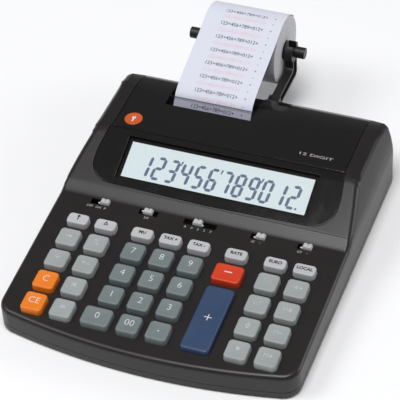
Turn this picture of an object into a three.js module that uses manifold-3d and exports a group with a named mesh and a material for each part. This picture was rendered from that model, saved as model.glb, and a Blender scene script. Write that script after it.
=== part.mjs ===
// Printing desk calculator: a wedge-shaped housing with 38 keys, five slide switches, a recessed
// twelve-digit display, a small roll-paper printer under a cover, and a paper roll on two arms behind.
// Units are millimetres. +Z is up, +Y runs from the user towards the paper roll, X = 0 is the middle.
// Places along Y are measured from the foremost point of the housing; the last lines centre the object.
import * as THREE from 'three';
import { mergeVertices } from 'three/addons/utils/BufferGeometryUtils.js';
import Module from 'manifold-3d';

// ---- Driving dimensions -------------------------------------------------------------------------
const BODY_WIDTH = 205;
const BODY_DEPTH = 238;
const WALL = 2.5;
const GAP = 0.35; // air between pieces that touch or slide on the real object

const FRONT_BOW = 12; // how far the front edge bulges at the middle
const REAR_BOW = 5;
const CORNER_RADIUS = 12;

const DECK_FRONT_HEIGHT = 19; // top of the keyboard deck at the front edge
const DECK_SLOPE = THREE.MathUtils.degToRad(4.4);
const COVE_START = 119; // where the deck starts to sweep up to the display
const COVE_EASE = 2.5; // how far the sweep follows the deck, and then the display slope
const DISPLAY_START = 129.5;
const DISPLAY_START_HEIGHT = 33.2;
const DISPLAY_SLOPE = THREE.MathUtils.degToRad(21.4);
const DISPLAY_END = 164; // the flat display slope ends here and rolls over to the printer cover
const COVER_START = 172.3;
const ROOF_RISE = 2.9; // from the end of the display slope up to the top of the cover
const ROOF_START = BODY_DEPTH - 50; // the level stretch of the cover
const ROOF_LEVEL_END = BODY_DEPTH - 42;
const ROOF_EASE = 20; // how far the rounding behind it stays nearly level
const ROOF_REAR_FULLNESS = 9.4; // how far it stays nearly upright above the rear wall
const ROOF_END_DROP = 12; // from the top of the cover down to the rear wall's top edge
const SHOULDER_HEIGHT = 27; // where the side walls start to lean in
const SHOULDER_LEAN = 7.4; // how far they lean in up to the rounded edge
const SHOULDER_EDGE = 15; // from the side wall to where the rounded edge meets the roof
const ROOF_CROWN = 1; // how much higher the roof is in the middle than at that edge
const ROOF_FRONT_LEAVING = 0.2; // shares of the front rounding's length where it leaves and arrives
const ROOF_FRONT_ARRIVING = 0.5;
const ROOF_REAR_LEAN = 2; // how far the line of the rear wall falls beyond the housing
const SHOULDER_LOW = [0, 0.27]; // the leaning shoulder's curve, as shares of its lean and its rise
const SHOULDER_HIGH = [0.68, 0.66];
const SHOULDER_TOP = [1, 0.87];
const SHOULDER_TURN = [1.14, 0.955];
const SHOULDER_TURN_REACH = 4.5; // how far the rounded edge reaches over the roof, and how far it drops
const SHOULDER_TURN_DROP = 0.2;
const SHORT_CURVE_STEPS = 8;
const LONG_CURVE_STEPS = 14;
const SHOULDER_STEPS = 7;
const SHOULDER_EDGE_STEPS = 6;
const SEAM_HEIGHT = 6; // joint between the two housings
const SEAM_REAR_HEIGHT = 13;
const SEAM_RISE_START = BODY_DEPTH - 40;

const FOOT_HEIGHT = 2;
const FOOT_RADIUS = 7;
const FOOT_INSET_X = 20;
const FOOT_INSET_Y = 26;
const FLOOR_THICKNESS = 2.5;
const BOSS_RADIUS = 4;
const BOSS_BORE_RADIUS = 1.5;
const BOSS_FLOOR = 1;
const WELD = 0.5; // how far feet and bosses sink into the floor they stand on
const BOSS_INSET_X = 9;
const BOSS_FRONT_Y = 26;
const BOSS_REAR_INSET = 30;

const KEY_PITCH_X = 20;
const KEY_PITCH_Y = 19.25;
const KEY_SIZE = 14.4;
const KEY_TAPER = 0.4; // each side grows by this much from the top to the deck
const KEY_CORNER = 2.4;
const KEY_HEIGHT = 4.6; // above the deck
const SMALL_KEY_LENGTH = 8.6;
const SMALL_ROW_OFFSET = 17; // from the first full row to the row of small keys
const WIDE_KEY_WIDTH = 19;
const BAR_KEY_HEIGHT = 3.6;
const KEY_FLANGE = 0.7;
const KEY_FLANGE_THICKNESS = 0.9;
const KEY_TRAVEL = 2.5;
const STEM_SIZE = 6;
const STEM_LENGTH = 1;
const FIRST_ROW_Y = 78;
const LEFT_BLOCK_X = -78.6;
const MIDDLE_BLOCK_X = -32.3;
const OPERATOR_X = 33.9;
const RIGHT_BLOCK_X = 60.8;

const SWITCH_Y = 116.4;
const SWITCH_SLOT_WIDTH = 4.6;
const SWITCH_KNOB_LENGTH = 6.5;
const SWITCH_KNOB_HEIGHT = 3;
const SWITCH_STEM_WIDTH = 3;
const SWITCH_STEM_DEPTH = 5.6;

const MAT_THICKNESS = 1.4;
const BOARD_THICKNESS = 1.6;
const BOARD_FRONT_MARGIN = 2; // past the keys
const MAT_REAR_MARGIN = 3;
const BOARD_MARGIN = 14; // from the side wall's inside to the board's edge

const BEZEL_THICKNESS = 2.4;
const BEZEL_HALF_WIDTH = 87;
const BEZEL_TOP_HALF_WIDTH = 84.5;
const BEZEL_BOW = 1.6;
const BEZEL_CORNER_RADIUS = 16;
const BEZEL_LEDGE = 3.5;
const LEDGE_THICKNESS = 2.6;
const WINDOW_WIDTH = 136;
const WINDOW_LENGTH = 31.6;
const WINDOW_OFFSET = 7.2; // from the lower edge of the bezel to the lower edge of the window
const WINDOW_THICKNESS = 1.2;
const WINDOW_SETBACK = 0.8;
const WINDOW_SEAT = 1; // how far the housing reaches in under the window's edge
const BEZEL_LIP = 2; // how far the bezel does
const LCD_THICKNESS = 3;

const COVER_HALF_WIDTH = 83.5;
const COVER_REAR_EDGE = 36.8; // height of the cover's lower edge on the rear wall
const COVER_LEDGE = 3;
const COVER_LEDGE_THICKNESS = 2;
const COVER_RAIL_REACH = 3; // how far the rails under the cover reach past its edge into the housing
const COVER_RAIL_START = 1; // from the cover's front edge
const COVER_RAIL_END = 8; // from the rear wall
const COVER_RAIL_RISE = 6; // above the cover's lower edge on the rear wall
const RAIL_SINK = 0.2; // how far the rails sink into the housing's wall
const COVER_FRONT_BACKSET = 0.5; // from the bezel's pocket to the cover's edge
const TALL = 90; // above everything on the housing
const PAPER_CENTRE_X = -24;
const PAPER_WIDTH = 57;
const RECESS_MARGIN = 3;
const RECESS_SHIFT = 1; // the tray sits this far to the left of the paper
const RECESS_START = BODY_DEPTH - 35.5;
const RECESS_DEPTH = 8;
const RECESS_FALL = 2.2; // how much lower the tray is at its rear end

const ROLL_RADIUS = 25;
const ROLL_CORE_RADIUS = 6;
const ROLL_Y = BODY_DEPTH + 46;
const ROLL_Z = 49;
const SPINDLE_RADIUS = 3;
const SPINDLE_KNOB_RADIUS = 4.2;
const SPINDLE_KNOB_LENGTH = 7.5;
const SPINDLE_KNOB_SINK = 1; // how far the shaft ends inside each knob
const CORE_FIT = 0.3;

const ARM_THICKNESS = 6;
const ARM_DEPTH = 9; // height of the arm's beam
const ARM_SIDE_GAP = 1.2; // between the roll and an arm
const ARM_BEAM_Z = 30.5;
const ARM_WEB = 2;
const ARM_FLANGE = 1.8;
const ARM_HEAD_RADIUS = 7.5;
const ARM_PLUG_DEPTH = 8;
const ARM_PLUG_HEIGHT = 6;
const ARM_FOOT_LENGTH = 10;
const ARM_FOOT_GROWTH = 1.2;
const ARM_FOOT_ROOT = 2; // how far the plug runs on into the foot
const ARM_OUTER_BEVEL = 3; // bevels at the arm's bend, outside and inside it
const ARM_INNER_BEVEL = 3;
const ARM_INNER_RISE = 2;
const ARM_POCKET_BEVEL = 1.5;
const ARM_NECK = 6; // from the spindle down to where the head's round begins
const ARM_POCKET_TOP = 8; // from the spindle down to the web's pocket
const ARM_HEAD_START = -0.6; // radians from level, on both sides
const ARM_NOTCH_REACH = 5; // past the head
const SKIM = 0.01; // how far a pocket's cutter stands out of the face it cuts
const NOTCH_FIT = 0.35;

const PLATEN_RADIUS = 6;
const PLATEN_Y = BODY_DEPTH - 31;
const PLATEN_Z = 30;
const PLATEN_AXLE_RADIUS = 1.6;
const AXLE_OVERHANG = 1; // past each side of the chassis
const DRUM_CLEARANCE = 1; // besides the paper between the drum and the platen
const DRUM_RADIUS = 5;
const CHASSIS_WALL = 2;
const CHASSIS_SIDE_GAP = 2;
const CHASSIS_FRONT = BODY_DEPTH - 60;
const CHASSIS_REAR = BODY_DEPTH - 21;
const CHASSIS_CLEARANCE = 2; // under the paper tray
const PAPER_THICKNESS = 0.3;
const TEAR_EDGE_Y = BODY_DEPTH - 25.8;
const TEAR_EDGE_Z = 51;
const TEAR_BAR_THICKNESS = 1.4;
const TEAR_BAR_HEIGHT = 8;
const TEAR_BAR_SLANT = 1.2; // how much lower its front edge is than the edge that tears
const PAPER_EXIT_ANGLE = THREE.MathUtils.degToRad(57);
const PAPER_INLET_Z = 19;
const PAPER_INLET_HEIGHT = 3.5;
const TRAY_SLIT_START = BODY_DEPTH - 35.1;
const TRAY_SLIT_END = BODY_DEPTH - 28;
const SLIT_FIT = 1.2; // beside the paper, in every slot that it passes

// ---- Values that follow from them ---------------------------------------------------------------
const HALF_WIDTH = BODY_WIDTH / 2;
const deckHeight = (y) => DECK_FRONT_HEIGHT + Math.tan(DECK_SLOPE) * y;
const displayHeight = (y) => DISPLAY_START_HEIGHT + Math.tan(DISPLAY_SLOPE) * (y - DISPLAY_START);
const ROOF_HEIGHT = displayHeight(DISPLAY_END) + ROOF_RISE;
const REAR_TOP = ROOF_HEIGHT - ROOF_END_DROP;
const BEYOND = 20; // how far cutting tools reach past what they cut
const ROLL_LEFT = PAPER_CENTRE_X - PAPER_WIDTH / 2;
const ROLL_RIGHT = PAPER_CENTRE_X + PAPER_WIDTH / 2;
const OVERALL_DEPTH = ROLL_Y + ROLL_RADIUS;
const TRAY_HEIGHT = ROOF_HEIGHT - RECESS_DEPTH;
const CHASSIS_TOP = TRAY_HEIGHT - WALL - CHASSIS_CLEARANCE;

// ---- Solid tools --------------------------------------------------------------------------------
const wasm = await Module();
wasm.setup();

function solid(geometry) {
  const bare = geometry.clone();
  bare.deleteAttribute('normal');
  bare.deleteAttribute('uv');
  const welded = mergeVertices(bare, 1e-4);
  return new wasm.Manifold(new wasm.Mesh({
    numProp: 3,
    vertProperties: new Float32Array(welded.attributes.position.array),
    triVerts: new Uint32Array(welded.index.array),
  }));
}

function geometryOf(body) {
  const mesh = body.getMesh();
  const geometry = new THREE.BufferGeometry();
  geometry.setAttribute('position', new THREE.BufferAttribute(new Float32Array(mesh.vertProperties), 3));
  geometry.setIndex(new THREE.BufferAttribute(new Uint32Array(mesh.triVerts), 1));
  geometry.computeVertexNormals();
  return geometry;
}

const cut = (body, ...tools) => tools.reduce((left, tool) => left.subtract(tool), body);
const join = (body, ...others) => others.reduce((sum, other) => sum.add(other), body);
const meet = (body, ...others) => others.reduce((common, other) => common.intersect(other), body);

const outline = (points) => new THREE.Shape(points.map(([a, b]) => new THREE.Vector2(a, b)));
const extrude = (points, depth) =>
  new THREE.ExtrudeGeometry(outline(points), { depth, bevelEnabled: false });

/** Prism standing on a plan outline of (x, y) points. */
const prismUp = (points, bottom, top) => extrude(points, top - bottom).translate(0, 0, bottom);

/** Prism with a side-view outline of (y, z) points, running from x0 to x1. */
function prismAcross(points, x0, x1) {
  const turn = new THREE.Matrix4().makeBasis(
    new THREE.Vector3(0, 1, 0), new THREE.Vector3(0, 0, 1), new THREE.Vector3(1, 0, 0));
  return extrude(points, x1 - x0).applyMatrix4(turn).translate(x0, 0, 0);
}

/** Prism with a front-view outline of (x, z) points, running from y0 to y1. */
const prismAlong = (points, y0, y1) => extrude(points, y1 - y0).rotateX(Math.PI / 2).translate(0, y1, 0);

function block(x0, x1, y0, y1, z0, z1) {
  return new THREE.BoxGeometry(x1 - x0, y1 - y0, z1 - z0)
    .translate((x0 + x1) / 2, (y0 + y1) / 2, (z0 + z1) / 2);
}

/** Cylinder or tube whose axis runs along X. */
function barAcross(radius, x0, x1, y, z, sides = 24) {
  return new THREE.CylinderGeometry(radius, radius, x1 - x0, sides)
    .rotateZ(Math.PI / 2).translate((x0 + x1) / 2, y, z);
}

const postUp = (radius, x, y, bottom, top, sides = 16) =>
  new THREE.CylinderGeometry(radius, radius, top - bottom, sides)
    .rotateX(Math.PI / 2).translate(x, y, (bottom + top) / 2);

/** Points on an arc, from angle a0 to angle a1 in radians. */
function arc(cx, cy, radius, a0, a1, steps) {
  return Array.from({ length: steps + 1 }, (_, i) => {
    const angle = a0 + (a1 - a0) * i / steps;
    return [cx + radius * Math.cos(angle), cy + radius * Math.sin(angle)];
  });
}

/** Moves an open line of points sideways; a positive distance is to the right of its direction. */
function shifted(points, distance) {
  const side = (a, b) => {
    const length = Math.hypot(b[0] - a[0], b[1] - a[1]);
    return [(b[1] - a[1]) / length, -(b[0] - a[0]) / length];
  };
  return points.map((point, i) => {
    const before = side(points[Math.max(i - 1, 0)], points[Math.max(i, 1)]);
    const after = side(points[Math.min(i, points.length - 2)], points[Math.min(i + 1, points.length - 1)]);
    const sum = [before[0] + after[0], before[1] + after[1]];
    const scale = 2 * distance / (sum[0] ** 2 + sum[1] ** 2);
    return [point[0] + sum[0] * scale, point[1] + sum[1] * scale];
  });
}

/** Closed solid made of rings of equal point counts, listed from top to bottom. */
function stacked(rings) {
  const count = rings[0].length;
  const positions = [];
  const triangle = (a, b, c) => positions.push(...a, ...b, ...c);
  rings.slice(1).forEach((lower, level) => {
    const upper = rings[level];
    for (let i = 0; i < count; i += 1) {
      const next = (i + 1) % count;
      triangle(lower[i], lower[next], upper[next]);
      triangle(lower[i], upper[next], upper[i]);
    }
  });
  const [first, last] = [rings[0], rings[rings.length - 1]];
  for (let i = 1; i < count - 1; i += 1) {
    triangle(first[0], first[i], first[i + 1]);
    triangle(last[0], last[i + 1], last[i]);
  }
  const geometry = new THREE.BufferGeometry();
  geometry.setAttribute('position', new THREE.Float32BufferAttribute(positions, 3));
  geometry.computeVertexNormals();
  return geometry;
}

/** Rectangle with cut corners, counter-clockwise, as (x, y) points. */
function cornered(width, length, corner) {
  const [x, y] = [width / 2, length / 2];
  return [
    [x, -y + corner], [x, y - corner], [x - corner, y], [-x + corner, y],
    [-x, y - corner], [-x, -y + corner], [-x + corner, -y], [x - corner, -y],
  ];
}

// ---- Finishes -----------------------------------------------------------------------------------
const finish = (color, roughness, metalness = 0, extra = {}) =>
  new THREE.MeshStandardMaterial({ color, roughness, metalness, ...extra });

const finishes = {
  housing: finish(0x2a2624, 0.38),
  gloss: finish(0x1c1917, 0.12),
  clear: finish(0xe8eef2, 0.08, 0, { transparent: true, opacity: 0.3 }),
  glass: finish(0xdfe6ea, 0.25),
  rubber: finish(0x5c6063, 0.8),
  board: finish(0x1f5a36, 0.5),
  paper: finish(0xd8d9e6, 0.9),
  steel: finish(0xb4b6b8, 0.35, 0.9),
  platen: finish(0x202020, 0.75),
  digit: finish(0x6e7a78, 0.5),
  light: finish(0xb9bcbe, 0.5),
  functionKey: finish(0x949c99, 0.5),
  orange: finish(0xea7a12, 0.45),
  red: finish(0xcf3a1c, 0.45),
  blue: finish(0x2d4a72, 0.4),
  knob: finish(0xd2d3d4, 0.5),
};

const meshes = [];

/** Makes a named mesh and keeps it in the list of pieces. */
function piece(name, geometry, material, place = null) {
  const mesh = new THREE.Mesh(geometry, material);
  mesh.name = name;
  if (place) {
    mesh.position.set(...place);
  }
  meshes.push(mesh);
  return mesh;
}

// ---- Housing envelope ---------------------------------------------------------------------------
const bowRadius = (rise) => (HALF_WIDTH ** 2 + rise ** 2) / (2 * rise);

/** Half of a bowed edge with its corner, from the middle to the side; y grows inwards from the edge. */
function bowedEdge(bow, inset) {
  const centre = bowRadius(bow);
  const radius = centre - inset;
  const corner = CORNER_RADIUS - inset;
  const cornerX = HALF_WIDTH - CORNER_RADIUS;
  const cornerY = centre - Math.sqrt((centre - CORNER_RADIUS) ** 2 - cornerX ** 2);
  const tangent = Math.atan2(cornerX, centre - cornerY);
  return [
    ...arc(0, centre, radius, -Math.PI / 2, -Math.PI / 2 + tangent, 8),
    ...arc(cornerX, cornerY, corner, -Math.PI / 2 + tangent, 0, 6).slice(1),
  ];
}

/** Outline of the housing seen from above, moved inwards by inset. */
function planOutline(inset) {
  const mirror = (points) => points.map(([x, y]) => [-x, y]).reverse();
  const front = bowedEdge(FRONT_BOW, inset);
  const rear = bowedEdge(REAR_BOW, inset).map(([x, y]) => [x, BODY_DEPTH - y]).reverse();
  return [...front, ...rear.slice(0, -1), ...mirror(rear), ...mirror(front).slice(0, -1)];
}

/** Points on a cubic curve from one point to another, without the first. */
function curve(from, leaving, arriving, to, steps) {
  const vectors = [from, leaving, arriving, to].map(([a, b]) => new THREE.Vector2(a, b));
  return new THREE.CubicBezierCurve(...vectors).getPoints(steps).slice(1).map((p) => [p.x, p.y]);
}

/** A closed outline moved inwards by inset. */
function inwards(points, inset) {
  const section = new wasm.CrossSection([points], 'EvenOdd');
  return inset > 0 ? section.offset(-inset, 'Round', 2, 24).toPolygons()[0] : points;
}

/** Side view of all that lies below the top surface, as closed (y, z) points. */
function belowTop() {
  const onDeck = (y) => [y, deckHeight(y)];
  const onDisplay = (y) => [y, displayHeight(y)];
  const roofEase = ROOF_START - DISPLAY_END;
  return [
    onDeck(-BEYOND),
    onDeck(COVE_START),
    ...curve(onDeck(COVE_START), onDeck(COVE_START + COVE_EASE), onDisplay(DISPLAY_START - COVE_EASE),
      onDisplay(DISPLAY_START), SHORT_CURVE_STEPS),
    onDisplay(DISPLAY_END),
    ...curve(onDisplay(DISPLAY_END), onDisplay(DISPLAY_END + roofEase * ROOF_FRONT_LEAVING),
      [ROOF_START - roofEase * ROOF_FRONT_ARRIVING, ROOF_HEIGHT], [ROOF_START, ROOF_HEIGHT],
      SHORT_CURVE_STEPS),
    [ROOF_LEVEL_END, ROOF_HEIGHT],
    ...curve([ROOF_LEVEL_END, ROOF_HEIGHT], [ROOF_LEVEL_END + ROOF_EASE, ROOF_HEIGHT],
      [BODY_DEPTH, REAR_TOP + ROOF_REAR_FULLNESS], [BODY_DEPTH, REAR_TOP], LONG_CURVE_STEPS),
    [BODY_DEPTH + BEYOND, REAR_TOP - ROOF_REAR_LEAN],
    [BODY_DEPTH + BEYOND, -2 * BEYOND],
    [-BEYOND, -2 * BEYOND],
  ];
}

/** Front view of all that lies below the roof and between the leaning shoulders, as (x, z) points. */
function belowShoulders() {
  const drop = ROOF_HEIGHT - SHOULDER_HEIGHT;
  const lean = ([share, rise]) => [HALF_WIDTH - SHOULDER_LEAN * share, SHOULDER_HEIGHT + drop * rise];
  const crownEdge = [HALF_WIDTH - SHOULDER_EDGE, ROOF_HEIGHT - ROOF_CROWN];
  const crownTurn = [crownEdge[0] + SHOULDER_TURN_REACH, crownEdge[1] - SHOULDER_TURN_DROP];
  const right = [
    [HALF_WIDTH, -2 * BEYOND],
    lean([0, 0]),
    ...curve(lean([0, 0]), lean(SHOULDER_LOW), lean(SHOULDER_HIGH), lean(SHOULDER_TOP), SHOULDER_STEPS),
    ...curve(lean(SHOULDER_TOP), lean(SHOULDER_TURN), crownTurn, crownEdge, SHOULDER_EDGE_STEPS),
    [crownEdge[0] / 2, ROOF_HEIGHT - ROOF_CROWN / 4],
  ];
  return [...right, [0, ROOF_HEIGHT], ...right.map(([x, z]) => [-x, z]).reverse()];
}

/** The joint between the housings in side view, raised by lift. */
const seamLine = (lift) => [
  [-BEYOND, SEAM_HEIGHT + lift],
  [SEAM_RISE_START, SEAM_HEIGHT + lift],
  [BODY_DEPTH, SEAM_REAR_HEIGHT + lift],
  [BODY_DEPTH + BEYOND, SEAM_REAR_HEIGHT + lift],
];

/** The housing's outer form, or its cavity when inset, above a given lower line of (y, z) points. */
function envelope(inset, lowerLine) {
  const [first, last] = [lowerLine[0], lowerLine[lowerLine.length - 1]];
  const aboveLine = [...lowerLine, [last[0], ROOF_HEIGHT + BEYOND], [first[0], ROOF_HEIGHT + BEYOND]];
  const across = (points) => solid(prismAcross(points, -HALF_WIDTH - BEYOND, HALF_WIDTH + BEYOND));
  return meet(
    across(inwards(belowTop(), inset)),
    across(aboveLine),
    solid(prismUp(planOutline(inset), -BEYOND, ROOF_HEIGHT + BEYOND)),
    solid(prismAlong(inwards(belowShoulders(), inset), -BEYOND, BODY_DEPTH + BEYOND)),
  );
}

const flatLine = (z) => [[-BEYOND, z], [BODY_DEPTH + BEYOND, z]];

// Frames that lie on the deck and on the display slope, with their z axis square to the surface.
function slopeFrame(y, z, slope) {
  return new THREE.Matrix4().makeRotationX(slope).setPosition(0, y, z);
}
const deckFrame = slopeFrame(FIRST_ROW_Y, deckHeight(FIRST_ROW_Y), DECK_SLOPE);
const displayFrame = slopeFrame(DISPLAY_START, DISPLAY_START_HEIGHT, DISPLAY_SLOPE);

// ---- Keys ---------------------------------------------------------------------------------------
// Each key: name, x, rows back (+) or forward (-) of the first full row, finish, width, length, height.
const rowPlace = (row) => -row * KEY_PITCH_Y;
const keys = [];

function addKey(name, x, row, material, size = {}) {
  keys.push({
    name, x, v: rowPlace(row), material, width: KEY_SIZE, length: KEY_SIZE, height: KEY_HEIGHT, ...size,
  });
}

function addSmallKeys(blockX, names) {
  names.forEach((name, i) => addKey(name, blockX + i * KEY_PITCH_X, 0, finishes.light,
    { v: SMALL_ROW_OFFSET, length: SMALL_KEY_LENGTH }));
}

function addBlock(blockX, material, rows) {
  rows.forEach((names, row) => names.forEach((name, i) =>
    addKey(name, blockX + i * KEY_PITCH_X, row, material)));
}

addSmallKeys(LEFT_BLOCK_X, ['key_paper_feed', 'key_delta']);
addBlock(LEFT_BLOCK_X, finishes.functionKey, [
  ['key_backspace', 'key_percent'], ['key_divide', 'key_sign_change'],
  ['key_clear', 'key_multiply'], ['key_clear_entry', 'key_equals']]);
addSmallKeys(MIDDLE_BLOCK_X, ['key_mark_up', 'key_tax_plus', 'key_tax_minus']);
addBlock(MIDDLE_BLOCK_X, finishes.digit, [
  ['key_7', 'key_8', 'key_9'], ['key_4', 'key_5', 'key_6'], ['key_1', 'key_2', 'key_3']]);
addKey('key_0', MIDDLE_BLOCK_X - (WIDE_KEY_WIDTH - KEY_SIZE) / 2, 3, finishes.digit,
  { width: WIDE_KEY_WIDTH });
addKey('key_00', MIDDLE_BLOCK_X + KEY_PITCH_X, 3, finishes.digit);
addKey('key_point', MIDDLE_BLOCK_X + 2 * KEY_PITCH_X, 3, finishes.digit);
addSmallKeys(OPERATOR_X, ['key_rate']);
addKey('key_minus', OPERATOR_X, 0, finishes.red, { width: WIDE_KEY_WIDTH });
addKey('key_plus', OPERATOR_X, 2, finishes.blue,
  { width: WIDE_KEY_WIDTH, length: KEY_SIZE + 2 * KEY_PITCH_Y, height: BAR_KEY_HEIGHT });
addSmallKeys(RIGHT_BLOCK_X, ['key_euro', 'key_local']);
addBlock(RIGHT_BLOCK_X, finishes.functionKey, [
  ['key_number_print', 'key_memory_recall'], ['key_grand_total', 'key_memory_subtotal'],
  ['key_subtotal', 'key_memory_minus'], ['key_total', 'key_memory_plus']]);
['key_clear', 'key_clear_entry'].forEach((name) => {
  keys.find((key) => key.name === name).material = finishes.orange;
});

const FLANGE_TOP = -WALL - GAP;
const FLANGE_BOTTOM = FLANGE_TOP - KEY_FLANGE_THICKNESS;
const STEM_BOTTOM = FLANGE_BOTTOM - STEM_LENGTH;
const MAT_TOP = STEM_BOTTOM - KEY_TRAVEL - GAP;
const BOARD_TOP = MAT_TOP - MAT_THICKNESS - GAP;
const BOARD_BOTTOM = BOARD_TOP - BOARD_THICKNESS;

function keyGeometry({ width, length, height }) {
  const ring = (grow, z, corner = KEY_CORNER) =>
    cornered(width + 2 * grow, length + 2 * grow, corner).map(([x, y]) => [x, y, z]);
  const stem = (z) => cornered(STEM_SIZE, STEM_SIZE, 1).map(([x, y]) => [x, y, z]);
  return stacked([
    ring(0, height), ring(KEY_TAPER, FLANGE_TOP), ring(KEY_TAPER + KEY_FLANGE, FLANGE_TOP),
    ring(KEY_TAPER + KEY_FLANGE, FLANGE_BOTTOM), stem(FLANGE_BOTTOM), stem(STEM_BOTTOM),
  ]);
}

function keyHole({ x, v, width, length }) {
  const grow = 2 * (KEY_TAPER + GAP);
  const points = cornered(width + grow, length + grow, KEY_CORNER);
  return solid(prismUp(points, -WALL * 2, BEYOND).translate(x, v, 0).applyMatrix4(deckFrame));
}

// ---- Slide switches: name, centre of the slot, slot length, place of the knob in the slot -------
const SWITCH_V = (SWITCH_Y - FIRST_ROW_Y) / Math.cos(DECK_SLOPE);
const switches = [
  { name: 'switch_power', x: -71.3, length: 14, at: 1 },
  { name: 'switch_rounding', x: -36.6, length: 13.5, at: 0 },
  { name: 'switch_decimals', x: 0.5, length: 23.2, at: -0.2 },
  { name: 'switch_item_count', x: 41.6, length: 10.6, at: 1 },
  { name: 'switch_total', x: 74, length: 10.6, at: 1 },
];

function switchSlot({ x, length }) {
  const slot = block(x - length / 2, x + length / 2, SWITCH_V - SWITCH_SLOT_WIDTH / 2,
    SWITCH_V + SWITCH_SLOT_WIDTH / 2, -WALL * 2, BEYOND);
  return solid(slot.applyMatrix4(deckFrame));
}

/** Knob with two humps across its top, a stem through the slot and a flange under the deck. */
function switchGeometry() {
  const half = SWITCH_KNOB_LENGTH / 2;
  const width = SWITCH_SLOT_WIDTH - 2 * GAP;
  const humps = [
    [-half, FLANGE_TOP], [half, FLANGE_TOP], [half, SWITCH_KNOB_HEIGHT - 0.8],
    [half - 0.9, SWITCH_KNOB_HEIGHT], [0.9, SWITCH_KNOB_HEIGHT], [0, SWITCH_KNOB_HEIGHT - 0.9],
    [-0.9, SWITCH_KNOB_HEIGHT], [-half + 0.9, SWITCH_KNOB_HEIGHT], [-half, SWITCH_KNOB_HEIGHT - 0.8],
  ];
  const grip = solid(prismAlong(humps, -width / 2, width / 2));
  const flangeHalf = width / 2 + 0.8;
  const flange = solid(block(-half, half, -flangeHalf, flangeHalf, FLANGE_BOTTOM, FLANGE_TOP));
  const stemHalf = SWITCH_STEM_WIDTH / 2;
  const stem = solid(block(-stemHalf, stemHalf, -stemHalf, stemHalf, -SWITCH_STEM_DEPTH, FLANGE_BOTTOM));
  return geometryOf(join(grip, flange, stem));
}

// ---- Display: bezel, window and panel, in the display frame -------------------------------------
const slant = (y) => (y - DISPLAY_START) / Math.cos(DISPLAY_SLOPE);
const BEZEL_TOP_V = slant(COVER_START) - 1.5;

/** Bezel outline in the display frame, grown by grow. */
function bezelOutline(grow) {
  const half = BEZEL_HALF_WIDTH + grow;
  const radius = BEZEL_CORNER_RADIUS + grow;
  const cornerX = BEZEL_HALF_WIDTH - BEZEL_CORNER_RADIUS;
  const start = BEZEL_BOW;
  const right = [
    [0, -grow],
    ...arc(cornerX, BEZEL_CORNER_RADIUS + start, radius, -Math.PI / 2, 0, 6),
    [half, slant(DISPLAY_END) - 12],
    [BEZEL_TOP_HALF_WIDTH + grow, BEZEL_TOP_V + grow],
  ];
  return [...right, ...right.slice(1).map(([x, v]) => [-x, v]).reverse()];
}

const WINDOW_LOWER_V = WINDOW_OFFSET;
const windowBlock = (grow, z0, z1) => block(-WINDOW_WIDTH / 2 - grow, WINDOW_WIDTH / 2 + grow,
  WINDOW_LOWER_V - grow, WINDOW_LOWER_V + WINDOW_LENGTH + grow, z0, z1);
const inDisplay = (geometry) => solid(geometry.applyMatrix4(displayFrame));

const BEZEL_FLOOR = -BEZEL_THICKNESS - GAP;
const LEDGE_FLOOR = BEZEL_FLOOR - LEDGE_THICKNESS;
const WINDOW_TOP = -WINDOW_SETBACK;
const LCD_TOP = BEZEL_FLOOR - GAP;

const bezelPocket = () => inDisplay(prismUp(bezelOutline(GAP), BEZEL_FLOOR, BEYOND));
const displayPad = () => inDisplay(prismUp(bezelOutline(BEZEL_LEDGE), LEDGE_FLOOR, BEYOND));

// ---- Upper housing and printer cover ------------------------------------------------------------
const upperOuter = envelope(0, seamLine(GAP));
const upperInner = envelope(WALL, flatLine(-BEYOND));
const ledgeOuter = envelope(WALL + GAP, flatLine(-BEYOND));
const ledgeInner = envelope(WALL + GAP + COVER_LEDGE_THICKNESS, flatLine(-BEYOND));
const beforeCover = solid(block(-BODY_WIDTH, BODY_WIDTH, -BEYOND,
  COVER_START - GAP - COVER_FRONT_BACKSET, 0, TALL));

/** The space taken by the printer cover, grown by grow. */
const coverSpace = (grow) => solid(block(-COVER_HALF_WIDTH - grow, COVER_HALF_WIDTH + grow,
  COVER_START - grow, BODY_DEPTH + BEYOND, COVER_REAR_EDGE - grow, ROOF_HEIGHT + BEYOND));

/** Side rails under the cover's edges, joined to the housing beyond its cut. */
function coverRails() {
  const inner = COVER_HALF_WIDTH - COVER_LEDGE;
  const outer = COVER_HALF_WIDTH + GAP;
  const rails = [-1, 1].map((side) => {
    const span = (a, b) => (side > 0 ? [a, b] : [-b, -a]);
    const along = [COVER_START + COVER_RAIL_START, BODY_DEPTH - COVER_RAIL_END,
      COVER_REAR_EDGE + COVER_RAIL_RISE, TALL];
    const reach = outer + COVER_RAIL_REACH;
    const low = meet(cut(ledgeOuter, ledgeInner), solid(block(...span(inner, reach), ...along)));
    const tie = meet(cut(envelope(WALL - RAIL_SINK, flatLine(-BEYOND)), ledgeInner),
      solid(block(...span(outer + RAIL_SINK, reach), ...along)));
    return join(low, tie);
  });
  return join(...rails);
}

const recessLeft = ROLL_LEFT - RECESS_MARGIN - RECESS_SHIFT;
const recessRight = ROLL_RIGHT + RECESS_MARGIN - RECESS_SHIFT;
const armPlaces = { holder_arm_left: ROLL_LEFT - ARM_SIDE_GAP - ARM_THICKNESS,
  holder_arm_right: ROLL_RIGHT + ARM_SIDE_GAP };
const armSocket = (x, grow) => solid(block(x - grow, x + ARM_THICKNESS + grow, BODY_DEPTH - ARM_PLUG_DEPTH,
  BODY_DEPTH + BEYOND, ARM_BEAM_Z - ARM_PLUG_HEIGHT / 2 - grow, ARM_BEAM_Z + ARM_PLUG_HEIGHT / 2 + grow));

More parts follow.
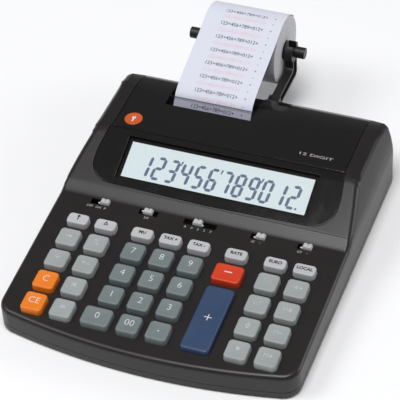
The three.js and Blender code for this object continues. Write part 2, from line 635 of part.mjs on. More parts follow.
/** Tray that the paper runs over: cut into the cover and open towards the rear. */
function recessSpace(grow) {
  const floor = TRAY_HEIGHT - grow;
  const side = [
    [RECESS_START - grow, ROOF_HEIGHT + BEYOND], [RECESS_START - grow, floor],
    [BODY_DEPTH, floor - RECESS_FALL], [BODY_DEPTH + BEYOND, floor - RECESS_FALL],
    [BODY_DEPTH + BEYOND, ROOF_HEIGHT + BEYOND],
  ];
  return solid(prismAcross(side, recessLeft - grow, recessRight + grow));
}

function upperHousing() {
  const cavity = cut(upperInner, meet(displayPad(), beforeCover));
  const shell = cut(upperOuter, cavity);
  const seated = cut(shell, coverSpace(GAP), meet(bezelPocket(), beforeCover),
    inDisplay(windowBlock(-WINDOW_SEAT, LEDGE_FLOOR - BEYOND, BEYOND)),
    solid(block(ROLL_LEFT - SLIT_FIT, ROLL_RIGHT + SLIT_FIT, BODY_DEPTH - BEYOND, BODY_DEPTH + BEYOND,
      PAPER_INLET_Z, PAPER_INLET_Z + PAPER_INLET_HEIGHT)));
  const sockets = Object.values(armPlaces).map((x) => armSocket(x, GAP));
  return cut(join(seated, coverRails()), ...keys.map(keyHole), ...switches.map(switchSlot), ...sockets);
}

function printerCover() {
  const outer = meet(upperOuter, coverSpace(0));
  const skin = cut(outer, upperInner);
  const tray = meet(cut(recessSpace(WALL), recessSpace(0)), outer);
  const slit = solid(block(ROLL_LEFT - SLIT_FIT, ROLL_RIGHT + SLIT_FIT, TRAY_SLIT_START, TRAY_SLIT_END,
    0, TRAY_HEIGHT + 1));
  return cut(join(cut(skin, recessSpace(0)), tray), slit);
}

// ---- Lower housing ------------------------------------------------------------------------------
const bossPlaces = [-1, 1].flatMap((side) => [BOSS_FRONT_Y, BODY_DEPTH - BOSS_REAR_INSET]
  .map((y) => [side * (HALF_WIDTH - BOSS_INSET_X), y]));
const footPlaces = [-1, 1].flatMap((side) => [FOOT_INSET_Y, BODY_DEPTH - FOOT_INSET_Y]
  .map((y) => [side * (HALF_WIDTH - FOOT_INSET_X), y]));
const FLOOR_TOP = FOOT_HEIGHT + FLOOR_THICKNESS;

function lowerHousing() {
  const side = [...flatLine(FOOT_HEIGHT), ...seamLine(0).reverse()];
  const across = (points) => solid(prismAcross(points, -BODY_WIDTH, BODY_WIDTH));
  const outer = meet(across(side), solid(prismUp(planOutline(0), 0, TALL)));
  const cavitySide = [...flatLine(FLOOR_TOP), ...seamLine(BEYOND).reverse()];
  const cavity = meet(across(cavitySide), solid(prismUp(planOutline(WALL), 0, TALL)));
  const bosses = bossPlaces.map(([x, y]) =>
    solid(postUp(BOSS_RADIUS, x, y, FLOOR_TOP - WELD, deckBossTop(y), 12)));
  const bores = bossPlaces.map(([x, y]) =>
    solid(postUp(BOSS_BORE_RADIUS, x, y, 0, deckBossTop(y) - BOSS_FLOOR, 8)));
  const feet = footPlaces.map(([x, y]) => solid(postUp(FOOT_RADIUS, x, y, 0, FOOT_HEIGHT + WELD, 20)));
  return cut(join(cut(outer, cavity), ...feet, ...bosses), ...bores);
}

/** Height at which a screw boss ends, just under the upper housing's inside. */
function deckBossTop(y) {
  return Math.min(deckHeight(y), SHOULDER_HEIGHT) - WALL - 2 * GAP;
}

// ---- Pieces on the deck -------------------------------------------------------------------------
const deckGroup = new THREE.Group();
deckGroup.applyMatrix4(deckFrame);
keys.forEach((key) => deckGroup.add(piece(key.name, keyGeometry(key), key.material, [key.x, key.v, 0])));
switches.forEach(({ name, x, length, at }) => {
  const travel = (length - SWITCH_KNOB_LENGTH) / 2 - GAP;
  deckGroup.add(piece(name, switchGeometry(), finishes.knob, [x + at * travel, SWITCH_V, 0]));
});

const boardHalf = HALF_WIDTH - WALL - BOARD_MARGIN;
const boardFront = rowPlace(3) - KEY_SIZE / 2 - BOARD_FRONT_MARGIN;
const matRear = SMALL_ROW_OFFSET + SMALL_KEY_LENGTH / 2 + MAT_REAR_MARGIN;
const boardRear = SWITCH_V + SWITCH_SLOT_WIDTH;
deckGroup.add(piece('key_mat', block(-boardHalf, boardHalf, boardFront, matRear,
  MAT_TOP - MAT_THICKNESS, MAT_TOP), finishes.rubber));
deckGroup.add(piece('main_board', block(-boardHalf, boardHalf, boardFront, boardRear,
  BOARD_BOTTOM, BOARD_TOP), finishes.board));

// ---- Pieces on the display slope ----------------------------------------------------------------
function displayBezel() {
  const plate = prismUp(bezelOutline(0), -BEZEL_THICKNESS, BEYOND).applyMatrix4(displayFrame);
  const flush = meet(solid(plate), upperOuter, solid(block(-BODY_WIDTH, BODY_WIDTH, 0,
    COVER_START - 2 * GAP - COVER_FRONT_BACKSET, 0, TALL)));
  return cut(flush, inDisplay(windowBlock(-BEZEL_LIP, -BEYOND, BEYOND)),
    inDisplay(windowBlock(GAP, WINDOW_TOP - WINDOW_THICKNESS - GAP, BEYOND)));
}

const displayGroup = new THREE.Group();
displayGroup.applyMatrix4(displayFrame);
displayGroup.add(piece('display_window', windowBlock(0, WINDOW_TOP - WINDOW_THICKNESS, WINDOW_TOP),
  finishes.clear));
displayGroup.add(piece('lcd_panel', windowBlock(-WINDOW_SEAT - GAP, LCD_TOP - LCD_THICKNESS, LCD_TOP),
  finishes.glass));

// ---- Printer: chassis, platen, print drum -------------------------------------------------------
const chassisLeft = ROLL_LEFT - CHASSIS_SIDE_GAP - CHASSIS_WALL;
const chassisRight = ROLL_RIGHT + CHASSIS_SIDE_GAP + CHASSIS_WALL;
const [axleLeft, axleRight] = [chassisLeft - AXLE_OVERHANG, chassisRight + AXLE_OVERHANG];
const DRUM_Y = PLATEN_Y - PLATEN_RADIUS - DRUM_RADIUS - 2 * PAPER_THICKNESS - DRUM_CLEARANCE;

function printerFrame() {
  const body = solid(block(chassisLeft, chassisRight, CHASSIS_FRONT, CHASSIS_REAR,
    FLOOR_TOP + GAP, CHASSIS_TOP));
  const hollow = solid(block(chassisLeft + CHASSIS_WALL, chassisRight - CHASSIS_WALL,
    CHASSIS_FRONT + CHASSIS_WALL, CHASSIS_REAR + BEYOND,
    FLOOR_TOP + GAP + CHASSIS_WALL, CHASSIS_TOP + BEYOND));
  const axleHole = (y) => solid(barAcross(PLATEN_AXLE_RADIUS + GAP, axleLeft, axleRight, y, PLATEN_Z, 16));
  return cut(body, hollow, axleHole(PLATEN_Y), axleHole(DRUM_Y));
}

function roller(radius, y) {
  return geometryOf(join(
    solid(barAcross(radius, ROLL_LEFT, ROLL_RIGHT, y, PLATEN_Z, 24)),
    solid(barAcross(PLATEN_AXLE_RADIUS, axleLeft, axleRight, y, PLATEN_Z, 16))));
}

// ---- Paper --------------------------------------------------------------------------------------
const STRIP_LAP_RADIUS = ROLL_RADIUS + GAP;
const CLIMB_REACH = 8; // how far the paper keeps its direction at each end of its two free stretches
const FALL_REACH = 9;
const LANDING_REACH = 30;
const LAP_START = Math.PI * 0.62; // where the strip lands on the roll, from +Y towards +Z
const LAP_END = Math.PI * 0.2;

/** Middle line of the printed strip in side view: up past the tear bar, then over the roll. */
function stripPath() {
  const tear = new THREE.Vector2(TEAR_EDGE_Y, TEAR_EDGE_Z);
  const exit = new THREE.Vector2(Math.cos(PAPER_EXIT_ANGLE), Math.sin(PAPER_EXIT_ANGLE));
  const start = new THREE.Vector2(PLATEN_Y - PLATEN_RADIUS - GAP - PAPER_THICKNESS / 2, PLATEN_Z);
  const lapRadius = STRIP_LAP_RADIUS + PAPER_THICKNESS / 2;
  const lap = arc(ROLL_Y, ROLL_Z, lapRadius, LAP_START, LAP_END, LONG_CURVE_STEPS);
  const landing = new THREE.Vector2(...lap[0]);
  const glide = new THREE.Vector2(Math.sin(LAP_START), -Math.cos(LAP_START));
  const climb = new THREE.CubicBezierCurve(start, start.clone().add(new THREE.Vector2(0, CLIMB_REACH)),
    tear.clone().addScaledVector(exit, -CLIMB_REACH), tear);
  const fall = new THREE.CubicBezierCurve(tear, tear.clone().addScaledVector(exit, FALL_REACH),
    landing.clone().addScaledVector(glide, -LANDING_REACH), landing);
  const points = [
    ...climb.getPoints(SHORT_CURVE_STEPS),
    ...fall.getPoints(LONG_CURVE_STEPS).slice(1, -1),
  ];
  return [...points.map((p) => [p.x, p.y]), ...lap];
}

function printedStrip() {
  const middle = stripPath();
  const band = [...shifted(middle, PAPER_THICKNESS / 2), ...shifted(middle, -PAPER_THICKNESS / 2).reverse()];
  return prismAcross(band, ROLL_LEFT, ROLL_RIGHT);
}

function tearBar() {
  const [dy, dz] = [Math.cos(PAPER_EXIT_ANGLE), Math.sin(PAPER_EXIT_ANGLE)];
  const clear = PAPER_THICKNESS + 2 * GAP;
  const top = [TEAR_EDGE_Y - clear, TEAR_EDGE_Z];
  const bottom = [top[0] - dy * TEAR_BAR_HEIGHT, top[1] - dz * TEAR_BAR_HEIGHT];
  const side = [top, [top[0] - TEAR_BAR_THICKNESS, top[1] - TEAR_BAR_SLANT],
    [bottom[0] - TEAR_BAR_THICKNESS, bottom[1]], bottom];
  return prismAcross(side, recessLeft + GAP, recessRight - GAP);
}

function paperRoll() {
  const body = solid(barAcross(ROLL_RADIUS, ROLL_LEFT, ROLL_RIGHT, ROLL_Y, ROLL_Z, 48));
  const bore = solid(barAcross(ROLL_CORE_RADIUS, ROLL_LEFT - 1, ROLL_RIGHT + 1, ROLL_Y, ROLL_Z, 24));
  return cut(body, bore);
}

const ARM_OUTER = ARM_SIDE_GAP + ARM_THICKNESS;

function rollSpindle() {
  const end = ARM_OUTER + SPINDLE_KNOB_LENGTH + GAP;
  const hub = solid(barAcross(ROLL_CORE_RADIUS - CORE_FIT, ROLL_LEFT, ROLL_RIGHT, ROLL_Y, ROLL_Z, 20));
  const shaft = solid(barAcross(SPINDLE_RADIUS, ROLL_LEFT - end + SPINDLE_KNOB_SINK,
    ROLL_RIGHT + end - SPINDLE_KNOB_SINK, ROLL_Y, ROLL_Z, 16));
  const knob = (x) => solid(barAcross(SPINDLE_KNOB_RADIUS, x, x + SPINDLE_KNOB_LENGTH, ROLL_Y, ROLL_Z, 16));
  return join(hub, shaft, knob(ROLL_LEFT - end), knob(ROLL_RIGHT + ARM_OUTER + GAP));
}

/** Outline of an arm in side view: a level beam that turns up to a head below the spindle. */
function armOutline(shrink) {
  const half = ARM_DEPTH / 2 - shrink;
  const headRadius = ARM_HEAD_RADIUS - shrink;
  const bendY = ROLL_Y;
  return [
    [BODY_DEPTH + GAP + shrink, ARM_BEAM_Z - half],
    [bendY + half - ARM_OUTER_BEVEL, ARM_BEAM_Z - half],
    [bendY + half, ARM_BEAM_Z - half + ARM_OUTER_BEVEL],
    [bendY + half, ROLL_Z - ARM_NECK],
    ...arc(ROLL_Y, ROLL_Z, headRadius, ARM_HEAD_START, Math.PI - ARM_HEAD_START, 16),
    [bendY - half, ROLL_Z - ARM_NECK],
    [bendY - half, ARM_BEAM_Z + half + ARM_INNER_RISE],
    [bendY - half - ARM_INNER_BEVEL, ARM_BEAM_Z + half],
    [BODY_DEPTH + GAP + shrink, ARM_BEAM_Z + half],
  ];
}

/** Arm with an I-shaped beam, a plug for its socket, a foot block and an open notch for the spindle. */
function holderArm(x) {
  const whole = solid(prismAcross(armOutline(0), x, x + ARM_THICKNESS));
  const side = (ARM_THICKNESS - ARM_WEB) / 2;
  const [front, low, high] = [BODY_DEPTH + ARM_FOOT_LENGTH, ARM_BEAM_Z - ARM_DEPTH / 2 + ARM_FLANGE,
    ARM_BEAM_Z + ARM_DEPTH / 2 - ARM_FLANGE];
  const [inner, outer] = [ROLL_Y - ARM_DEPTH / 2 + ARM_FLANGE, ROLL_Y + ARM_DEPTH / 2 - ARM_FLANGE];
  const beamPocket = prismAcross([
    [front, low],
    [outer - ARM_POCKET_BEVEL, low],
    [outer, low + ARM_POCKET_BEVEL],
    [outer, ROLL_Z - ARM_POCKET_TOP], [inner, ROLL_Z - ARM_POCKET_TOP],
    [inner, high + ARM_FLANGE],
    [inner - ARM_FLANGE - ARM_POCKET_BEVEL, high],
    [front, high],
  ], 0, side);
  const pockets = [x - SKIM, x + ARM_THICKNESS - side + SKIM].map((at) =>
    solid(beamPocket.clone().translate(at, 0, 0)));
  const notchHalf = SPINDLE_RADIUS + NOTCH_FIT;
  const notch = solid(block(x - 1, x + ARM_THICKNESS + 1, ROLL_Y - notchHalf, ROLL_Y + notchHalf,
    ROLL_Z, ROLL_Z + ARM_HEAD_RADIUS + ARM_NOTCH_REACH));
  const seat = solid(barAcross(notchHalf, x - 1, x + ARM_THICKNESS + 1, ROLL_Y, ROLL_Z, 20));
  const grow = ARM_FOOT_GROWTH;
  const foot = solid(block(x - grow, x + ARM_THICKNESS + grow, BODY_DEPTH + GAP,
    BODY_DEPTH + GAP + ARM_FOOT_LENGTH,
    ARM_BEAM_Z - ARM_DEPTH / 2 - grow, ARM_BEAM_Z + ARM_DEPTH / 2 + grow));
  const plug = solid(block(x, x + ARM_THICKNESS, BODY_DEPTH - ARM_PLUG_DEPTH + ARM_FOOT_ROOT,
    BODY_DEPTH + ARM_FOOT_ROOT,
    ARM_BEAM_Z - ARM_PLUG_HEIGHT / 2, ARM_BEAM_Z + ARM_PLUG_HEIGHT / 2));
  return join(cut(whole, ...pockets, notch, seat), foot, plug);
}

// ---- The object ---------------------------------------------------------------------------------
const calculator = new THREE.Group();
calculator.add(deckGroup, displayGroup);
[
  ['upper_housing', upperHousing(), finishes.housing],
  ['printer_cover', printerCover(), finishes.gloss],
  ['lower_housing', lowerHousing(), finishes.housing],
  ['display_bezel', displayBezel(), finishes.gloss],
  ['printer_frame', printerFrame(), finishes.steel],
  ['paper_roll', paperRoll(), finishes.paper],
  ['roll_spindle', rollSpindle(), finishes.housing],
  ...Object.entries(armPlaces).map(([name, x]) => [name, holderArm(x), finishes.housing]),
].forEach(([name, body, material]) => calculator.add(piece(name, geometryOf(body), material)));
calculator.add(piece('platen_roller', roller(PLATEN_RADIUS, PLATEN_Y), finishes.platen));
calculator.add(piece('print_drum', roller(DRUM_RADIUS, DRUM_Y), finishes.steel));
calculator.add(piece('printed_strip', printedStrip(), finishes.paper));
calculator.add(piece('tear_bar', tearBar(), finishes.clear));

// The middle of the object's footprint becomes the origin.
const root = new THREE.Group();
calculator.position.y = -OVERALL_DEPTH / 2;
root.add(calculator);
export default root;
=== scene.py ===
"""Looks of a printing desk calculator: mouldings, keys, display, switches, printer and paper roll.

Sizes inside the classes are millimetres in the row frame, and every mesh is scaled to metres when
its piece is made. Places along Y that are called from_front, and those of the paper strip, count
from the foremost point of the housing.
"""

import logging
import math
from dataclasses import dataclass, field
from enum import Enum
from functools import cache
from typing import Callable, Iterable, Sequence

import bmesh
import bpy
from mathutils import Matrix, Vector
from mathutils.bvhtree import BVHTree


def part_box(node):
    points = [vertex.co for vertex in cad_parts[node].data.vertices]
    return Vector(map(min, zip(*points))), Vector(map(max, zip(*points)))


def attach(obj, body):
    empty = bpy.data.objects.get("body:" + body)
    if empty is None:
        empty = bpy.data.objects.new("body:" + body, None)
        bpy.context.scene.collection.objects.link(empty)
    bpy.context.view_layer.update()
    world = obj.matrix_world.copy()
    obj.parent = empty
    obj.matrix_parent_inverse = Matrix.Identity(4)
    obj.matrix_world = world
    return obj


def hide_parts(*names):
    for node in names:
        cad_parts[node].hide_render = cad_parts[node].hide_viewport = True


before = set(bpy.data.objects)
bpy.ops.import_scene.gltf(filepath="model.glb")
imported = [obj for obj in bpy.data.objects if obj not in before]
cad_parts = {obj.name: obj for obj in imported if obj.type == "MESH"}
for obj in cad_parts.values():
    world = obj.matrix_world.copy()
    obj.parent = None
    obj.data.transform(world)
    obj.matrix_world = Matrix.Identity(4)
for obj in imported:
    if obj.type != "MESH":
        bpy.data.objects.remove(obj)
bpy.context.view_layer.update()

LOG = logging.getLogger("calculator")
MM = 0.001
FRONT_Y = -154.5  # the foremost point of the housing, in the row frame
ROOT = "housing"
CRISP = 20.0  # printing keeps every edge that turns by more degrees than this
Point = Sequence[float]
Color = tuple[float, float, float]
Outline = list[tuple[float, float]]


# ---- Frames on the housing ----
@dataclass(frozen=True)
class SlopeFrame:
    """A plane right across the housing that leans back; its z axis is square to the surface."""

    from_front: float
    height: float
    slope: float

    def matrix(self) -> Matrix:
        """The frame's place in the row frame, in millimetres."""
        turn = Matrix.Rotation(math.radians(self.slope), 4, "X")
        return Matrix.Translation((0, FRONT_Y + self.from_front, self.height)) @ turn


DECK = SlopeFrame(from_front=78, height=25.002, slope=4.4)
DISPLAY = SlopeFrame(from_front=129.5, height=33.2, slope=21.4)
SWITCH_ROW = (116.4 - DECK.from_front) / math.cos(math.radians(DECK.slope))  # measured up the deck
COVER_PRINT_Y = FRONT_Y + 181.5  # the emblem and the wording on the printer cover


# ---- Shader tools ----
class Value:
    """One output socket of a node, with arithmetic that adds Math nodes."""

    def __init__(self, paint: "Paint", socket: bpy.types.NodeSocket) -> None:
        """Wraps a socket of the given material's tree."""
        self.paint = paint
        self.socket = socket

    def _math(self, operation: str, first: object, second: object = 0.0) -> "Value":
        """Adds a Math node on two values, each a Value or a number."""
        return self.paint.node("ShaderNodeMath", {"operation": operation}, {0: first, 1: second})

    def __add__(self, other: object) -> "Value":
        """self + other."""
        return self._math("ADD", self, other)

    __radd__ = __add__

    def __sub__(self, other: object) -> "Value":
        """self - other."""
        return self._math("SUBTRACT", self, other)

    def __rsub__(self, other: object) -> "Value":
        """other - self."""
        return self._math("SUBTRACT", other, self)

    def __mul__(self, other: object) -> "Value":
        """self * other."""
        return self._math("MULTIPLY", self, other)

    __rmul__ = __mul__

    def __pow__(self, other: object) -> "Value":
        """self ** other."""
        return self._math("POWER", self, other)

    def __rpow__(self, other: object) -> "Value":
        """other ** self."""
        return self._math("POWER", other, self)

    def sine(self) -> "Value":
        """Sine of the value, in radians."""
        return self._math("SINE", self)

    def above(self, edge: float) -> "Value":
        """1 where the value is over edge, otherwise 0."""
        return self._math("GREATER_THAN", self, edge)

    def ramp(self, low: float, high: float) -> "Value":
        """Rises smoothly from 0 at low to 1 at high."""
        inputs = {"Value": self, "From Min": low, "From Max": high, "To Min": 0.0, "To Max": 1.0}
        return self.paint.node("ShaderNodeMapRange", {"interpolation_type": "SMOOTHSTEP"}, inputs)


class Paint:
    """A node material under construction around one Principled shader."""

    def __init__(self, name: str, color: Color, roughness: float, **constants: float) -> None:
        """Starts a material.

        Args:
            name: the material's name.
            color: linear base colour.
            roughness: roughness of the whole surface, before any variation.
            constants: more of the shader's sockets by name, with _ for each space.
        """
        self.material = bpy.data.materials.new(name)
        self.material.use_nodes = True
        self.tree = self.material.node_tree
        self.shader = self.tree.nodes["Principled BSDF"]
        self.output = self.tree.nodes["Material Output"]
        self.shader.inputs["Base Color"].default_value = (*color, 1)
        self.shader.inputs["Roughness"].default_value = roughness
        for key, value in constants.items():
            socket = key.replace("_", " ").title().replace("Ior", "IOR")
            self.shader.inputs[socket].default_value = value
        self.material.diffuse_color = (*color, 1)

    def node(self, kind: str, settings: dict, inputs: dict, output: int | str = 0) -> Value:
        """Adds one node.

        Args:
            kind: the node's type name.
            settings: properties of the node, set before its sockets.
            inputs: socket names or numbers with a Value, a number or a tuple for each.
            output: the output socket that is wanted.

        Returns:
            The wanted output.
        """
        made = self.tree.nodes.new(kind)
        for key, value in settings.items():
            setattr(made, key, value)
        for key, value in inputs.items():
            if isinstance(value, Value):
                self.tree.links.new(value.socket, made.inputs[key])
            else:
                made.inputs[key].default_value = value
        return Value(self, made.outputs[output])

    def place(self) -> Value:
        """Object coordinates, in metres."""
        return self.node("ShaderNodeTexCoord", {}, {}, "Object")

    def axes(self) -> tuple[Value, Value, Value]:
        """Object coordinates as three separate values, in metres."""
        split = self.node("ShaderNodeSeparateXYZ", {}, {"Vector": self.place()}).socket.node
        return tuple(Value(self, output) for output in split.outputs)

    def noise(self, size: float, detail: float = 2.0, stretch: Point = (1, 1, 1)) -> Value:
        """Cloudy noise.

        Args:
            size: how large its spots are, in millimetres.
            detail: how many finer layers it has.
            stretch: factors on the coordinates.

        Returns:
            Values between 0 and 1.
        """
        place = {0: self.place(), 1: stretch}
        coords = self.node("ShaderNodeVectorMath", {"operation": "MULTIPLY"}, place)
        inputs = {"Vector": coords, "Scale": 1 / (size * MM), "Detail": detail}
        return self.node("ShaderNodeTexNoise", {}, inputs)

    def mix(self, mask: Value | float, first: Color | Value, second: Color) -> Value:
        """A colour that goes from first to second as mask goes from 0 to 1.

        Args:
            mask: the share of the second colour.
            first: a fixed or varying colour.
            second: a fixed colour.

        Returns:
            The varying colour.
        """
        start = first if isinstance(first, Value) else (*first, 1)
        color_a, color_b, color_result = 6, 7, 2
        inputs = {0: mask, color_a: start, color_b: (*second, 1)}
        return self.node("ShaderNodeMix", {"data_type": "RGBA"}, inputs, color_result)

    def color(self, value: Value) -> None:
        """Feeds Base Color."""
        self.tree.links.new(value.socket, self.shader.inputs["Base Color"])

    def roughness(self, value: Value) -> None:
        """Feeds Roughness."""
        self.tree.links.new(value.socket, self.shader.inputs["Roughness"])

    def relief(self, height: Value, depth: float) -> None:
        """Feeds Normal through a bump of depth millimetres."""
        bump = self.node("ShaderNodeBump", {}, {"Height": height, "Distance": depth * MM})
        self.tree.links.new(bump.socket, self.shader.inputs["Normal"])


# ---- Finishes ----
def tone(color: Color, factor: float, added: float = 0.0) -> Color:
    """A lighter or darker colour."""
    return tuple(min(1.0, c * factor + added) for c in color)


@dataclass(frozen=True)
class MouldedPlastic:
    """Injection-moulded plastic with a fine sparked grain and slightly uneven gloss."""

    name: str
    color: Color
    roughness: float
    grain: float = 0.35
    depth: float = 0.008
    unevenness: float = 0.06
    tint: float = 0.12
    cloud_size: float = 24
    haze: float = 0.0015
    sparkle: float = 0.05

    def material(self) -> bpy.types.Material:
        """Builds the node material.

        Returns:
            The material.
        """
        paint = Paint(self.name, self.color, self.roughness)
        cloud = paint.noise(self.cloud_size, 3)
        fine = paint.noise(self.grain, 2)
        darker = tone(self.color, 1 - self.tint)
        paint.color(paint.mix(cloud, darker, tone(self.color, 1 + self.tint, self.haze)))
        uneven = (cloud - 0.5) * self.unevenness
        paint.roughness(self.roughness + uneven + (fine - 0.5) * self.sparkle)
        paint.relief(fine, self.depth)
        return paint.material


@dataclass(frozen=True)
class PolishedPlastic:
    """Polished black plastic with faint wiping marks and a trace of dust."""

    name: str
    color: Color
    roughness: float
    dust_color: Color = (0.05, 0.048, 0.045)

    def material(self) -> bpy.types.Material:
        """Builds the node material.

        Returns:
            The material.
        """
        paint = Paint(self.name, self.color, self.roughness, specular_ior_level=0.5)
        smear = paint.noise(9, 4, (1.0, 0.25, 1.0)).ramp(0.45, 0.75)
        dust = paint.noise(0.5, 1).ramp(0.71, 0.78)
        paint.roughness(self.roughness + smear * 0.04 + dust * 0.15)
        paint.color(paint.mix(dust * 0.35, self.color, self.dust_color))
        paint.relief(paint.noise(0.6, 2), 0.0015)
        return paint.material


@dataclass(frozen=True)
class Ink:
    """Printed ink with slightly broken coverage."""

    name: str
    color: Color
    faded: Color
    roughness: float = 0.5

    def material(self) -> bpy.types.Material:
        """Builds the node material.

        Returns:
            The material.
        """
        paint = Paint(self.name, self.color, self.roughness)
        worn = paint.noise(0.28, 2).ramp(0.5, 0.72)
        paint.color(paint.mix(worn * 0.5, self.color, self.faded))
        paint.roughness(self.roughness + worn * 0.15)
        return paint.material


@dataclass(frozen=True)
class ClearPlastic:
    """A clear moulded plate: see-through, with a reflection that grows at low angles."""

    name: str
    tint: Color
    reflection: float
    base: Color = (0.02, 0.021, 0.022)
    index: float = 1.45
    edge_share: float = 0.8

    def material(self) -> bpy.types.Material:
        """Builds the node material.

        Returns:
            The material.
        """
        paint = Paint(self.name, self.base, 0.06)
        clear = paint.node("ShaderNodeBsdfTransparent", {}, {"Color": (*self.tint, 1)})
        paint.roughness(0.04 + paint.noise(14, 3).ramp(0.5, 0.8) * 0.08)
        edge = paint.node("ShaderNodeFresnel", {}, {"IOR": self.index})
        mask = edge * self.edge_share + self.reflection
        body = Value(paint, paint.shader.outputs[0])
        both = paint.node("ShaderNodeMixShader", {}, {0: mask, 1: clear, 2: body})
        paint.tree.links.new(both.socket, paint.output.inputs["Surface"])
        return paint.material


@dataclass(frozen=True)
class CrystalPanel:
    """The reflecting back of a liquid-crystal display, seen through its glass, brightened by a
    painted glow.
    """

    name: str
    color: Color
    # painted light: how strongly the panel emits its own colour, so that it looks lit
    glow: float
    roughness: float = 0.42

    def material(self) -> bpy.types.Material:
        """Builds the node material.

        Returns:
            The material.
        """
        # painted light: the panel glows faintly in its own colour instead of only reflecting the
        # lamps
        paint = Paint(self.name, self.color, self.roughness, emission_strength=self.glow)
        paint.shader.inputs["Emission Color"].default_value = (*self.color, 1)
        speckle = paint.noise(0.25, 2)
        shade = paint.noise(60, 1)
        paint.color(paint.mix(speckle * 0.4 + shade * 0.5, self.color, tone(self.color, 0.93)))
        paint.relief(speckle, 0.004)
        return paint.material


@dataclass(frozen=True)
class PaperFinish:
    """Uncoated calculator paper with a soft fibre mottle."""

    name: str
    color: Color
    roughness: float = 0.82

    def material(self) -> bpy.types.Material:
        """Builds the node material.

        Returns:
            The material.
        """
        paint = Paint(self.name, self.color, self.roughness)
        fibre = paint.noise(0.5, 4, (1.0, 0.35, 0.35))
        paint.color(paint.mix(fibre, tone(self.color, 0.93), self.color))
        paint.relief(fibre, 0.006)
        return paint.material


@dataclass(frozen=True)
class WoundPaper:
    """A roll's end: hundreds of paper edges around a card core."""

    name: str
    color: Color
    card: Color
    axis_y: float
    axis_z: float
    core: float
    layer: float = 0.45
    band: float = 3.1

    def material(self) -> bpy.types.Material:
        """Builds the node material.

        Returns:
            The material.
        """
        paint = Paint(self.name, self.color, 0.85)
        _, y, z = paint.axes()
        dy, dz = y - self.axis_y * MM, z - self.axis_z * MM
        radius = (dy * dy + dz * dz) ** 0.5
        turn = 2 * math.pi
        rings = (radius * (turn / (self.layer * MM))).sine() * 0.5 + 0.5
        uneven = (radius * (turn / (self.band * MM))).sine() * 0.5 + 0.5
        paper = paint.mix(rings * 0.55 + uneven * 0.3, self.color, tone(self.color, 0.72))
        paint.color(paint.mix(1 - radius.above(self.core * MM), paper, self.card))
        paint.relief(rings, 0.05)
        return paint.material


@dataclass(frozen=True)
class RubberFinish:
    """Dull rubber with a fine matt skin."""

    name: str
    color: Color
    roughness: float = 0.78

    def material(self) -> bpy.types.Material:
        """Builds the node material.

        Returns:
            The material.
        """
        paint = Paint(self.name, self.color, self.roughness)
        skin = paint.noise(0.6, 3)
        paint.color(paint.mix(skin, self.color, tone(self.color, 1.5, 0.004)))
        paint.relief(skin, 0.02)
        return paint.material


@dataclass(frozen=True)
class SteelFinish:
    """Rolled steel with fine lines along X."""

    name: str
    color: Color

    def material(self) -> bpy.types.Material:
        """Builds the node material.

        Returns:
            The material.
        """
        paint = Paint(self.name, self.color, 0.34, metallic=1.0)
        lines = paint.noise(0.4, 3, (0.03, 1.0, 1.0))
        paint.roughness(0.26 + lines * 0.22)
        paint.color(paint.mix(lines, tone(self.color, 0.85), self.color))
        paint.relief(lines, 0.003)
        return paint.material


@dataclass(frozen=True)
class BoardFinish:
    """Green solder mask over copper tracks laid out on a grid."""

    name: str
    color: Color
    track: Color
    track_pitch: float = 2.5

    def material(self) -> bpy.types.Material:
        """Builds the node material.

        Returns:
            The material.
        """
        paint = Paint(self.name, self.color, 0.35)
        x, y, _ = paint.axes()
        upright = paint.noise(8, 0).above(0.5)
        wave = 2 * math.pi / (self.track_pitch * MM)
        across = (x * wave).sine().above(0.55)
        along = (y * wave).sine().above(0.55)
        tracks = across * upright + along * (1 - upright)
        paint.color(paint.mix(tracks, self.color, self.track))
        paint.relief(tracks, 0.03)
        return paint.material


